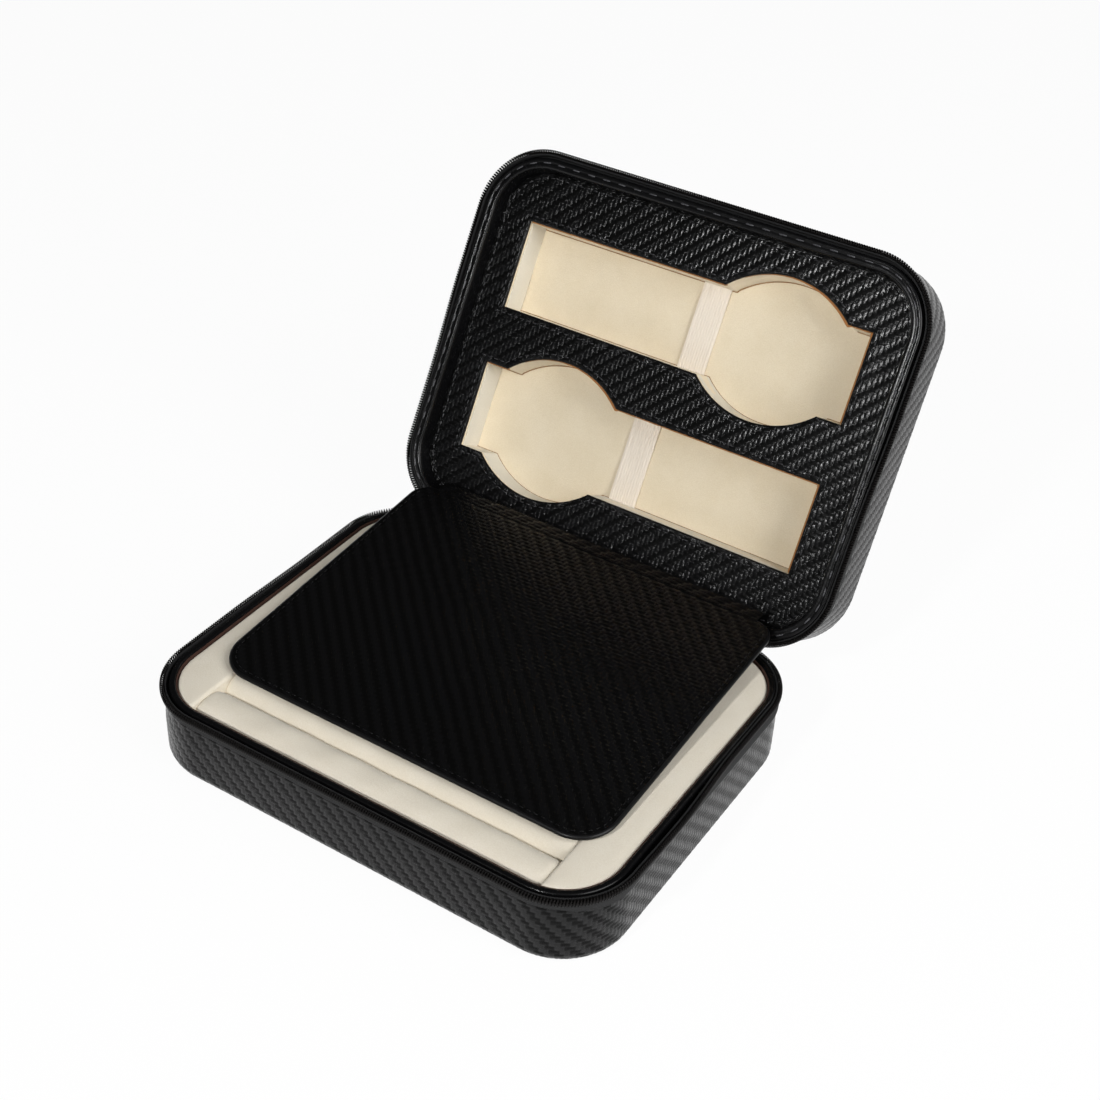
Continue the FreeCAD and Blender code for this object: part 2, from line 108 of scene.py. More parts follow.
# ---------------------------------------------------------------------------------------------
# Sizes and places


def turned(y: Array | float, z: Array | float, centre: Sequence[float],
           degrees: float) -> tuple[Array | float, Array | float]:
    """Turns places in the side view about a line along X.

    Args:
        y: the places' y.
        z: the places' z.
        centre: the line's y and z.
        degrees: how far, from Y towards Z.

    Returns:
        The new y and z.
    """
    angle = math.radians(degrees)
    dy, dz = y - centre[0], z - centre[1]
    return (centre[0] + dy * math.cos(angle) - dz * math.sin(angle),
            centre[1] + dy * math.sin(angle) + dz * math.cos(angle))


@dataclass(frozen=True)
class CaseSizes:
    """The case's main sizes, read from the frame, and those that its pieces share.

    Attributes:
        hinge: y and z of the lid's hinge.
        page_axis: y and z of the page's hinge in the closed case, and open_page_axis in the
            open one.
        cover_top: the height of the skin's folded top.
        zip_end: from the middle of the back to each end of the zip.
    """

    width: float
    depth: float
    half_height: float
    hinge: tuple[float, float]
    page_axis: tuple[float, float]
    open_page_axis: tuple[float, float]
    open_angle: float
    page_angle: float
    radius: float = 27.0
    edge_round: float = 5.5
    cover_top: float = 27.6
    zip_end: float = 69.0

    @classmethod
    def from_frame(cls) -> "CaseSizes":
        """Reads the sizes from the nodes' boxes, the joints and the page's coupling.

        Returns:
            The sizes.
        """
        low, high = (np.array(corner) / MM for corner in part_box("base_cover"))
        joints = {joint["name"]: joint for joint in frame["joints"]}
        hinge, axis = (np.array(joints[name]["pos_m"], float) / MM
                       for name in ("lid_hinge", "page_hinge"))
        open_angle = -joints["lid_hinge"]["range_deg"][0]
        ratio = frame["record"]["behaviour"]["couplings"][0]["ratio"]
        return cls(
            width=high[0] - low[0],
            depth=high[1] - low[1],
            half_height=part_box("base_rim")[1][2] / MM + 0.15,
            hinge=(hinge[1], hinge[2]),
            page_axis=turned(axis[1], axis[2], hinge[1:], open_angle),
            open_page_axis=(axis[1], axis[2]),
            open_angle=open_angle,
            page_angle=-ratio * open_angle,
        )


SIZES = CaseSizes.from_frame()
MOUTH = SIZES.half_height


@dataclass(frozen=True)
class Placement:
    """Where a piece drawn in the closed case goes.

    Attributes:
        body: the body that the piece rides on.
        mirrored: whether the piece was drawn as the base stands and is turned over for the lid.
        turns: rotations about lines along X, as (y, z, degrees), in the order they are made.
    """

    body: Body
    mirrored: bool = False
    turns: tuple[tuple[float, float, float], ...] = ()

    def apply(self, points: Array) -> Array:
        """Moves points: z is reflected in the mouth plane, then each turn is made about its line.

        Args:
            points: an (N, 3) array in millimetres.

        Returns:
            The moved points, as a new array.
        """
        moved = np.array(points, float)
        if self.mirrored:
            moved[:, 2] = 2 * MOUTH - moved[:, 2]
        for *centre, degrees in self.turns:
            moved[:, 1], moved[:, 2] = turned(moved[:, 1], moved[:, 2], centre, degrees)
        return moved


LID_SWING = (*SIZES.hinge, -SIZES.open_angle)
IN_BASE = Placement(Body.BASE)
IN_LID = Placement(Body.LID, False, (LID_SWING,))
LID_AS_BASE = Placement(Body.LID, True, (LID_SWING,))
ON_PAGE = Placement(Body.PAGE, False, ((*SIZES.page_axis, SIZES.page_angle), LID_SWING))


# ---------------------------------------------------------------------------------------------
# Outlines


@dataclass(frozen=True)
class Outline:
    """A rectangle with a round corner of its own radius at each corner.

    Its length is measured from the middle of the back edge towards -X, so it runs anticlockwise
    seen from above. The radii are those at the back left, front left, front right and back right.
    """

    width: float
    depth: float
    radii: tuple[float, float, float, float]
    middle_y: float = 0.0

    def _keys(self) -> tuple[Array, Array, Array, Array, Array]:
        """Works out where straights and corners meet.

        Returns:
            The lengths there, with the corner's centre x and y, its radius and the angle.
        """
        back_left, front_left, front_right, back_right = self.radii
        w, d = self.width / 2, self.depth / 2
        quarter = math.pi / 2
        runs = np.array([
            w - back_left, quarter * back_left, 2 * d - back_left - front_left,
            quarter * front_left, 2 * w - front_left - front_right, quarter * front_right,
            2 * d - front_right - back_right, quarter * back_right, w - back_right,
        ])
        lengths = np.concatenate([[0.0], np.cumsum(runs)])
        x = np.array([0, back_left - w, back_left - w, front_left - w, front_left - w,
                      w - front_right, w - front_right, w - back_right, w - back_right, 0])
        y = np.array([d - back_left] * 3 + [front_left - d] * 2 + [front_right - d] * 2
                     + [d - back_right] * 3)
        radius = np.repeat(self.radii, (3, 2, 2, 3))
        angle = np.radians([90, 90, 180, 180, 270, 270, 360, 360, 450, 450])
        return lengths, x, y, radius, angle

    @property
    def length(self) -> float:
        """The length all the way round."""
        return float(self._keys()[0][-1])

    def at(self, along: Array, offset: Array | float) -> tuple[Array, Array, Array, Array]:
        """Points at lengths along the outline, moved outwards by an offset.

        The corner centre, radius and angle are interpolated between the places where straights
        meet corners. A point is the centre plus radius and offset times the angle's direction.

        Args:
            along: lengths from the middle of the back edge.
            offset: how far outwards, one number or an array like along.

        Returns:
            x, y and the two parts of the outward direction.
        """
        lengths, x, y, radius, angle = self._keys()
        turn = np.interp(along, lengths, angle)
        reach = np.interp(along, lengths, radius) + offset
        cosine, sine = np.cos(turn), np.sin(turn)
        return (np.interp(along, lengths, x) + reach * cosine,
                np.interp(along, lengths, y) + self.middle_y + reach * sine, cosine, sine)

    def points(self, along: Array, offset: Array | float) -> Array:
        """The places alone that at gives, as one array with x and y last."""
        return np.stack(self.at(along, offset)[:2], -1)

    def stations(self, step: float) -> Array:
        """Evenly spaced lengths all the way round, about a step apart."""
        count = round(self.length / step)
        return np.arange(count) * self.length / count

    def loop(self, step: float, offset: float = 0.0) -> Array:
        """The outline as an (N, 2) array of points."""
        return self.points(self.stations(step), offset)

    def inside(self, x: Array, y: Array) -> Array:
        """How far inside the outline points are, negative outside.

        It is the signed distance of a rounded rectangle with each quarter's own radius.

        Args:
            x: the points' x.
            y: the points' y.

        Returns:
            The distances.
        """
        back_left, front_left, front_right, back_right = self.radii
        behind, left = y > self.middle_y, x < 0
        radius = np.where(behind, np.where(left, back_left, back_right),
                          np.where(left, front_left, front_right))
        across = np.abs(x) - self.width / 2 + radius
        down = np.abs(y - self.middle_y) - self.depth / 2 + radius
        outer = np.hypot(np.maximum(across, 0), np.maximum(down, 0))
        return radius - outer - np.minimum(np.maximum(across, down), 0)

    def margin(self, inset: float) -> Margin:
        """Gives how far places are inside the outline drawn in by an inset."""
        return lambda x, y: self.inside(x, y) - inset


CASE = Outline(SIZES.width, SIZES.depth, (SIZES.radius,) * 4)


@dataclass(frozen=True)
class Window:
    """A watch-shaped window: a slot for the strap with a round bulge for the watch's head."""

    name: str
    side: int
    middle_y: float
    middle_x: float = -0.5
    length: float = 158.0
    height: float = 37.4
    head_offset: float = 41.4
    head_chord: float = 54.0
    head_sagitta: float = 10.8

    @property
    def head_radius(self) -> float:
        """The radius of the head's arc, from its chord and its rise."""
        return (self.head_chord ** 2 / 4 + self.head_sagitta ** 2) / (2 * self.head_sagitta)

    def loop(self, grow: float, step: float = CURVE_STEP) -> Array:
        """The window's edge, anticlockwise, moved into the panel by a distance.

        Straights are evenly divided. Each bulge is an arc through the chord's ends with the
        sagitta as its rise. Every point then moves along the mitre of its two neighbouring edges.

        Args:
            grow: how far into the panel.
            step: about how far apart the points are.

        Returns:
            An (N, 2) array, the same length for every grow.
        """
        a, b, c = self.length / 2, self.height / 2, self.head_chord / 2
        left, right, radius = self.head_offset - c, self.head_offset + c, self.head_radius
        half = math.asin(c / radius)
        swing = np.linspace(-half, half, round(2 * half * radius / step), endpoint=False)
        arc_x = self.head_offset + radius * np.sin(swing)
        arc_y = b + self.head_sagitta - radius + radius * np.cos(swing)

        def line(start: tuple[float, float], end: tuple[float, float]) -> Array:
            """An evenly divided straight without its end."""
            count = round(math.dist(start, end) / step)
            return np.array(start) + np.arange(count)[:, None] / count * (np.array(end) - start)

        points = np.concatenate([
            line((-a, -b), (left, -b)), np.stack([arc_x, -arc_y], -1), line((right, -b), (a, -b)),
            line((a, -b), (a, b)), line((a, b), (right, b)),
            np.stack([2 * self.head_offset - arc_x, arc_y], -1), line((left, b), (-a, b)),
            line((-a, b), (-a, -b)),
        ])
        if self.side < 0:
            points = points[::-1] * (-1, 1)
        return mitred(points + (self.middle_x, self.middle_y), grow)

    def outside(self, x: Array, y: Array) -> Array:
        """How far outside the window points are, negative inside.

        It is the smaller of the distance to the slot and that to the head, where the head is
        where two discs and the chord's strip overlap.

        Args:
            x: the points' x.
            y: the points' y.

        Returns:
            The distances.
        """
        x, y = (x - self.middle_x) * self.side, np.abs(y - self.middle_y)
        across, down = np.abs(x) - self.length / 2, y - self.height / 2
        slot = np.hypot(np.maximum(across, 0), np.maximum(down, 0))
        slot = slot + np.minimum(np.maximum(across, down), 0)
        centre = self.height / 2 + self.head_sagitta - self.head_radius
        disc = np.hypot(x - self.head_offset, y - centre) - self.head_radius
        return np.minimum(slot, np.maximum(disc, np.abs(x - self.head_offset)
                                           - self.head_chord / 2))


def mitred(loop: Array, offset: float) -> Array:
    """Moves a closed anticlockwise loop outwards so that its edges stay parallel.

    A point moves along the sum of its two edges' outward directions, divided by one plus their
    product, which is the mitre's length.

    Args:
        loop: an (N, 2) array.
        offset: how far.

    Returns:
        The moved loop.
    """
    edge = np.roll(loop, -1, axis=0) - loop
    out = np.stack([edge[:, 1], -edge[:, 0]], -1) / np.linalg.norm(edge, axis=1)[:, None]
    before = np.roll(out, 1, axis=0)
    return loop + offset * (out + before) / (1 + (out * before).sum(1))[:, None]


def lengths_along(path: Array, closed: bool = False) -> Array:
    """The length along a path at each of its points, and back at the first if it is closed."""
    path = np.concatenate([path, path[:1]]) if closed else path
    return np.concatenate([[0], np.cumsum(np.linalg.norm(np.diff(path, axis=0), axis=1))])


def spaced(path: Array, pitch: float, closed: bool = True) -> tuple[Array, Array]:
    """Points and directions at an even pitch along a path of straight steps.

    Args:
        path: an (N, D) array of points.
        pitch: the distance wanted between two points. It is adjusted to divide the length.
        closed: whether the last point is joined to the first.

    Returns:
        The points and the unit directions there.
    """
    path = np.concatenate([path, path[:1]]) if closed else path
    lengths = lengths_along(path)
    count = round(lengths[-1] / pitch)
    places = (np.arange(count) + 0.5) * lengths[-1] / count

    def sample(at: Array) -> Array:
        """The path's points at lengths along it."""
        return np.stack([np.interp(at, lengths, column) for column in path.T], -1)

    ahead = sample(places + 0.2) - sample(places - 0.2)
    return sample(places), ahead / np.linalg.norm(ahead, axis=1)[:, None]


def at_height(loop: Array, z: float | Array) -> Array:
    """A flat loop at a height, as an (N, 3) array."""
    return np.column_stack([loop, np.broadcast_to(z, len(loop))])


def pairs(across: Array, down: Array) -> Array:
    """Every across with every down, as a (rows, columns, 2) array."""
    return np.stack(np.broadcast_arrays(across[None, :], down[:, None]), -1)


# ---------------------------------------------------------------------------------------------
# Reliefs


@dataclass(frozen=True)
class Twill:
    """A two-by-two twill of flat tows, as a heated roller embosses it in leatherette.

    Attributes:
        tow: the width of one tow.
        relief: how high a tow's middle stands above its edges.
    """

    tow: float = 1.8
    relief: float = 0.145

    def height(self, u: Array, v: Array, ribs: Ribs, edge: Array,
               fade: float) -> tuple[Array, Array]:
        """The relief at places on the sheet, and which tow lies on top.

        With x and y in tow widths, the crosswise tow is on top where the whole parts of x and y
        add up to 0 or 1 in steps of four. A tow's section is one minus the square of the distance
        from its middle, and its float sinks at both ends as one minus the fourth power.

        Args:
            u: first direction in millimetres.
            v: second direction in millimetres.
            ribs: the way the diagonal ribs run.
            edge: how far each place is from the sheet's edge.
            fade: over how far the relief grows from nothing at the edge.

        Returns:
            The height in millimetres, and 1 where the crosswise tow is on top and 0 elsewhere.
        """
        x, y = u / self.tow, v / self.tow * ribs.value
        column, row = np.floor(x), np.floor(y)
        crosswise = np.mod(column + row, 4) < 2
        across = np.where(crosswise, x - column, y - row)
        along = np.where(crosswise, np.mod(column + y, 4) / 2, (np.mod(x + row, 4) - 2) / 2)
        across, along = np.clip(across, 0, 1), np.clip(along, 0, 1)
        section = (1 - (2 * across - 1) ** 2) * (1 - (2 * along - 1) ** 4)
        return (self.relief * section * np.clip(np.clip(edge, 0, None) / fade, 0, 1),
                crosswise.astype(float))


TWILL = Twill()


def ripple(*places: Array, scale: float, seed: int) -> Array:
    """A gentle unevenness between about -1 and 1, as hand-glued sheet has.

    It is the sum of five sine waves in fixed directions, each with a length near the scale,
    divided by three.

    Args:
        places: one array for each direction, in millimetres.
        scale: the typical length of a wave.
        seed: picks the waves' directions and phases.

    Returns:
        An array like the places.
    """
    pick = np.random.default_rng(seed)
    total = np.zeros(np.broadcast(*places).shape)
    for _ in range(5):
        heading = pick.normal(size=len(places))
        heading *= 2 * math.pi / scale / np.linalg.norm(heading) * pick.uniform(0.6, 1.5)
        total = total + np.sin(sum(h * p for h, p in zip(heading, places)) + pick.uniform(0, 6.3))
    return total / 3


def eased(share: Array) -> Array:
    """A share held between 0 and 1 that leaves and arrives without a bend."""
    share = np.clip(share, 0, 1)
    return share * share * (3 - 2 * share)


# ---------------------------------------------------------------------------------------------
# Surfaces


@dataclass(frozen=True)
class Stitch:
    """The sizes of one of a row of stitches: from one to the next, and of its thread.

    Attributes:
        lift: how far the thread stands up.
    """

    pitch: float
    length: float
    radius: float = 0.26
    lift: float = 0.3


def new_object(name: str, data: bpy.types.ID | None) -> Object:
    """Makes an object in the scene's own collection.

    Args:
        name: the object's name.
        data: its mesh, lamp or camera.

    Returns:
        The object.
    """
    made = bpy.data.objects.new(name, data)
    bpy.context.scene.collection.objects.link(made)
    return made


@dataclass
class Surface:
    """A mesh that is put together from parts, in millimetres, with a UV for every face corner."""

    vertices: list[Array] = field(default_factory=list)
    faces: list[Array] = field(default_factory=list)
    corners: list[Array] = field(default_factory=list)
    tows: list[Array] = field(default_factory=list)
    count: int = 0

    def add(self, vertices: Array, faces: Array, uv: Array, tow: Array | None = None) -> None:
        """Adds a part.

        Args:
            vertices: an (N, 3) array.
            faces: an (M, K) array of the part's own vertex numbers.
            uv: an (M, K, 2) array of corner places in millimetres.
            tow: a number from 0 to 1 for each vertex that a material may read.
        """
        self.vertices.append(vertices)
        self.faces.append(faces + self.count)
        self.corners.append(uv)
        self.tows.append(np.full(len(vertices), 0.5) if tow is None else tow)
        self.count += len(vertices)

    def add_grid(self, grid: Array, uv: Array, rows_closed: bool = False,
                 columns_closed: bool = False, tow: Array | None = None) -> None:
        """Adds a grid of quads.

        Args:
            grid: a (rows, columns, 3) array. Its front is on the side that the cross product of
                a step along a row and a step to the next row points to.
            uv: a (rows, columns, 2) array, or one more row or column where the grid is closed.
            rows_closed: whether the last row is joined to the first.
            columns_closed: whether the last column is joined to the first.
            tow: a (rows, columns) array of the mark.
        """
        rows, columns = grid.shape[:2]
        r, c = np.meshgrid(np.arange(rows - (not rows_closed)),
                           np.arange(columns - (not columns_closed)), indexing="ij")
        r = np.stack([r, r, r + 1, r + 1], -1).reshape(-1, 4)
        c = np.stack([c, c + 1, c + 1, c], -1).reshape(-1, 4)
        faces = r % rows * columns + c % columns
        self.add(grid.reshape(-1, 3), faces, uv[r, c], None if tow is None else tow.ravel())

    def add_caps(self, grid: Array, flat: Array, order: int = 1) -> None:
        """Closes the two ends of a tube, each with one face.

        Args:
            grid: a (K, columns, 3) array whose columns are the tube's rings.
            flat: (K, 2) places on the cut face.
            order: 1 where the last ring faces outwards as it is numbered, -1 where the first does.
        """
        ring = np.arange(len(grid))[None, :]
        for end, step in ((0, -order), (-1, order)):
            face = ring[:, ::step]
            self.add(grid[:, end], face, flat[face])

    def sweep(self, outline: Outline, stations: Array, profile: Array,
              relief: Array | float = 0.0, tow: Array | None = None, ring: bool = True,
              solid: bool = False, drift: Array | float = 0.0) -> None:
        """Carries a profile along an outline.

        A grid point is the outline's point at its station, moved outwards by the profile's
        offset, at the profile's height. Relief moves it along the profile's own outward normal.

        Args:
            outline: the path.
            stations: lengths along it.
            profile: (K, 2) offsets and heights, going up on the outer side.
            relief: a (K, S) array of distances along the normal.
            tow: a (K, S) array of the mark.
            ring: whether the stations go all the way round.
            solid: whether the profile is joined end to start, with caps where it isn't a ring.
            drift: a (K, S) array of distances that points move outwards, whatever their normal.
        """
        slope = (np.roll(profile, -1, axis=0) - np.roll(profile, 1, axis=0) if solid
                 else np.gradient(profile, axis=0))
        slope /= np.maximum(np.linalg.norm(slope, axis=1), 1e-9)[:, None]
        push = np.zeros((len(profile), len(stations))) + relief
        offset = profile[:, :1] + push * slope[:, 1:] + drift
        height = profile[:, 1:] - push * slope[:, :1]
        x, y, _, _ = outline.at(np.broadcast_to(stations, push.shape), offset)
        grid = np.stack([x, y, height], -1)
        whole = np.append(stations, outline.length) if ring else stations
        self.add_grid(grid, pairs(whole, lengths_along(profile, solid)), rows_closed=solid,
                      columns_closed=ring, tow=tow)
        if solid and not ring:
            self.add_caps(grid, profile)

    def loft(self, rows: Sequence[Array]) -> None:
        """Joins closed loops of the same number of points with quads.

        Args:
            rows: (N, 3) loops, anticlockwise seen from the side that the rows rise to.
        """
        grid = np.stack(rows)
        uv = pairs(lengths_along(grid[0], True), lengths_along(grid[:, 0]))
        self.add_grid(grid, uv, columns_closed=True)

    def fill(self, loops: Sequence[Array], spacing: float, margin: Margin,
             lift: Callable[[Array, Array], tuple[Array, Array | None]],
             facing_up: bool = True) -> None:
        """Fills the space between flat loops: squares inside, and triangles along the loops.

        Grid squares whose four corners lie well inside the sheet are used as they are. The grid
        points near the loops and the loops themselves are joined by a constrained Delaunay
        triangulation, of which the triangles between the squares and the loops are kept.

        Args:
            loops: closed loops of points: the outer edge and then any holes.
            spacing: the squares' size. The grid passes through the origin.
            margin: gives how far inside the sheet places are.
            lift: gives the height and the tow mark at places.
            facing_up: whether the sheet's front is on the upper side.
        """
        low, high = loops[0].min(0), loops[0].max(0)
        x, y = (np.arange(math.ceil(a / spacing), math.floor(b / spacing) + 1) * spacing
                for a, b in zip(low, high))
        grid_x, grid_y = np.meshgrid(x, y, indexing="ij")
        inside = margin(grid_x, grid_y)
        deep = inside > 1.7 * spacing
        filled = deep[:-1, :-1] & deep[1:, :-1] & deep[1:, 1:] & deep[:-1, 1:]
        ringed = np.pad(filled, 1)
        buried = ringed[:-1, :-1] & ringed[1:, :-1] & ringed[1:, 1:] & ringed[:-1, 1:]
        border = (inside > 0.55 * spacing) & ~buried
        border_points = np.stack([grid_x[border], grid_y[border]], -1)
        points = np.concatenate([*loops, border_points])
        firsts = np.cumsum([0, *(len(loop) for loop in loops)])
        edges = [(first + i, first + (i + 1) % len(loop))
                 for first, loop in zip(firsts, loops) for i in range(len(loop))]
        found = delaunay_2d_cdt([Vector(point) for point in points], edges, [], 0, 1e-6, False)
        if len(found[0]) != len(points):
            raise ValueError("the sheet's points moved while it was filled")
        triangles = np.array(found[2])
        a, b, c = (points[triangles[:, k]] for k in range(3))
        turn = ((b[:, 0] - a[:, 0]) * (c[:, 1] - a[:, 1])
                - (b[:, 1] - a[:, 1]) * (c[:, 0] - a[:, 0]))
        triangles[turn < 0] = triangles[turn < 0][:, ::-1]
        centre = (a + b + c) / 3
        cell = np.floor((centre - (x[0], y[0])) / spacing).astype(int)
        cell = np.clip(cell, 0, np.array(filled.shape) - 1)
        triangles = triangles[~filled[cell[:, 0], cell[:, 1]]
                              & (margin(centre[:, 0], centre[:, 1]) > 0)]

        numbers = np.full(grid_x.shape, -1)
        numbers[border] = firsts[-1] + np.arange(len(border_points))
        numbers[buried] = len(points) + np.arange(int(buried.sum()))
        points = np.concatenate([points, np.stack([grid_x[buried], grid_y[buried]], -1)])
        i, j = np.nonzero(filled)
        squares = np.stack([numbers[i, j], numbers[i + 1, j], numbers[i + 1, j + 1],
                            numbers[i, j + 1]], -1)
        height, tow = lift(points[:, 0], points[:, 1])
        step = 1 if facing_up else -1
        triangles, squares = triangles[:, ::step], squares[:, ::step]
        self.add(at_height(points, height), triangles, points[triangles], tow)
        self.faces.append(squares + self.count - len(points))
        self.corners.append(points[squares])

    def sew(self, points: Array, along: Array, up: Array, stitch: Stitch) -> None:
        """Adds a row of stitches, each a short rounded thread that dives in at both ends.

        A stitch is a tube over t from 0 to 1. Its height is the lift times one minus the fourth
        power of 2t-1, less half the lift, and its radius shrinks to half at the ends.

        Args:
            points: (N, 3) middles of the stitches on the sheet.
            along: (N, 3) directions.
            up: the sheet's outward direction.
            stitch: its sizes.
        """
        rings, sides = 7, 6
        t = np.linspace(0, 1, rings)[:, None]
        turn = (np.arange(sides) * 2 * math.pi / sides)[None, :]
        height = stitch.lift * (1 - (2 * t - 1) ** 4) - 0.5 * stitch.lift
        size = stitch.radius * (1 - 0.5 * (2 * t - 1) ** 6)
        parts = np.stack(np.broadcast_arrays(
            (t - 0.5) * stitch.length, size * np.cos(turn), height + size * np.sin(turn)), -1)
        up = np.broadcast_to(up, along.shape)
        axes = np.stack([along, np.cross(up, along), up], 1)
        placed = points[:, None, None, :] + np.einsum("rsk,nkd->nrsd", parts, axes)
        r, s = np.meshgrid(np.arange(rings - 1), np.arange(sides), indexing="ij")
        after = (s + 1) % sides
        tube = np.stack([(r + 1) * sides + s, (r + 1) * sides + after, r * sides + after,
                         r * sides + s], -1).reshape(-1, 4)
        caps = np.array([[0, 1, 2, 3], [0, 3, 4, 5]])
        faces = np.concatenate([tube, caps, caps[:, ::-1] + (rings - 1) * sides])
        faces = (faces + (np.arange(len(points)) * rings * sides)[:, None, None]).reshape(-1, 4)
        uv = np.tile(parts[..., :2].reshape(-1, 2), (len(points), 1))[faces]
        self.add(placed.reshape(-1, 3), faces, uv)

    def make(self, name: str, placement: Placement, finish: "Finish", *replaced: str,
             weld: bool = False, fill: float | None = None, drawn_open: bool = False) -> Object:
        """Makes the piece, with its place in its mesh, and hooks it up.

        Args:
            name: the piece's name.
            placement: where the piece goes, and the body that it rides on.
            finish: its material.
            replaced: names of the CAD nodes that it stands for.
            weld: whether vertices in the same place are merged.
            fill: how full it is, for a padded piece; not used.
            drawn_open: whether it is drawn where it is in the open case and is left for a blend
                between two bodies, so that it isn't moved and rides on none.

        Returns:
            The object.
        """
        mesh = bpy.data.meshes.new(name)
        points = np.concatenate(self.vertices)
        points = (points if drawn_open else placement.apply(points)) * MM
        step = -1 if placement.mirrored else 1
        numbers = np.concatenate([part[:, ::step].ravel() for part in self.faces])
        places = np.concatenate([part[:, ::step].reshape(-1, 2) for part in self.corners]) * MM
        sizes = np.concatenate([np.full(len(part), part.shape[1]) for part in self.faces])
        mesh.vertices.add(len(points))
        mesh.vertices.foreach_set("co", points.astype(np.float32).ravel())
        mesh.loops.add(len(numbers))
        mesh.loops.foreach_set("vertex_index", numbers.astype(np.int32))
        mesh.polygons.add(len(sizes))
        mesh.polygons.foreach_set("loop_start", (np.cumsum(sizes) - sizes).astype(np.int32))
        mesh.update(calc_edges=True)
        mesh.uv_layers.new(name=CUT).data.foreach_set("uv", places.astype(np.float32).ravel())
        mark = mesh.attributes.new(TOW, "FLOAT", "POINT")
        mark.data.foreach_set("value", np.concatenate(self.tows).astype(np.float32))
        if weld:
            tidy = bmesh.new()
            tidy.from_mesh(mesh)
            bmesh.ops.remove_doubles(tidy, verts=tidy.verts, dist=2e-6)
            tidy.to_mesh(mesh)
            tidy.free()
        mesh.polygons.foreach_set("use_smooth", np.ones(len(mesh.polygons), bool))
        mesh.set_sharp_from_angle(angle=math.radians(60))
        mesh.materials.append(finish.material())
        piece = new_object(name, mesh)
        if not drawn_open:
            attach(piece, placement.body.value)
        if replaced:
            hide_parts(*replaced)
        LOG.info("%-24s %7d faces, %s", name, len(mesh.polygons), finish.name)
        return piece


# ---------------------------------------------------------------------------------------------
# Finishes


def linear(hex_colour: str) -> tuple[float, float, float, float]:
    """Turns an sRGB hex colour into the linear RGBA that a shader wants.

    Args:
        hex_colour: a hash sign and six digits.

    Returns:
        Red, green, blue and one.
    """
    parts = np.array([int(hex_colour[i:i + 2], 16) / 255 for i in (1, 3, 5)])
    parts = np.where(parts <= 0.04045, parts / 12.92, ((parts + 0.055) / 1.055) ** 2.4)
    return (*(float(part) for part in parts), 1.0)


def add_node(tree: Tree, kind: str, settings: dict | None = None,
             inputs: dict | None = None) -> Node:
    """Adds a shader node.

    Args:
        tree: the material's node tree.
        kind: the node's type name.
        settings: attributes to set on it.
        inputs: sockets by name or number, each with a value or an output to link.

    Returns:
        The node.
    """
    node = tree.nodes.new(kind)
    for name, value in (settings or {}).items():
        setattr(node, name, value)
    for name, value in (inputs or {}).items():
        if isinstance(value, Socket):
            tree.links.new(value, node.inputs[name])
        else:
            node.inputs[name].default_value = value
    return node


def grain(tree: Tree, size_mm: float, detail: float = 2.0) -> Socket:
    """Cloudy noise on object coordinates whose lumps are about a size across.

    Args:
        tree: the material's node tree.
        size_mm: the lumps' size.
        detail: how many finer layers are added.

    Returns:
        The noise from 0 to 1.
    """
    place = add_node(tree, "ShaderNodeTexCoord").outputs["Object"]
    return add_node(tree, "ShaderNodeTexNoise", {}, {
        "Vector": place, "Scale": 1 / (size_mm * MM), "Detail": detail,
        "Roughness": 0.55}).outputs["Fac"]


def bands(tree: Tree, direction: str, size_mm: float) -> Socket:
    """Soft bands across the piece's own cut, as threads or plies lie.

    Args:
        tree: the material's node tree.
        direction: the direction that they follow each other in.
        size_mm: the width of one.

    Returns:
        A wave from 0 to 1.
    """
    cut = add_node(tree, "ShaderNodeUVMap", {"uv_map": CUT}).outputs["UV"]
    return add_node(tree, "ShaderNodeTexWave", {"bands_direction": direction}, {
        "Vector": cut, "Scale": 1 / (size_mm * MM) / math.pi}).outputs["Fac"]


def emptied(owner: bpy.types.Material | bpy.types.World) -> Tree:
    """Gives a material or a world an empty node tree.

    Args:
        owner: the material or the world.

    Returns:
        The tree.
    """
    owner.use_nodes = True
    owner.node_tree.nodes.clear()
    return owner.node_tree


@dataclass(frozen=True)
class Look:
    """What a finish gives its shader.

    Attributes:
        colour: one hex colour, or a share from 0 to 1 with the two colours it mixes.
        bumps: reliefs from the coarsest to the finest, as height, strength and depth in mm.
        spreads: sockets that vary, each with a share, and its values at 0 and at 1.
        plain: sockets that are the same all over.
        linked: sockets that take an output as it is.
        coated: whether the top coat follows the bumps too.
    """

    colour: str | tuple[Socket, str, str]
    bumps: tuple[tuple[Socket, float, float], ...] = ()
    spreads: dict[str, tuple[Socket, float, float]] = field(default_factory=dict)
    plain: dict[str, float] = field(default_factory=dict)
    linked: dict[str, Socket] = field(default_factory=dict)
    coated: bool = False


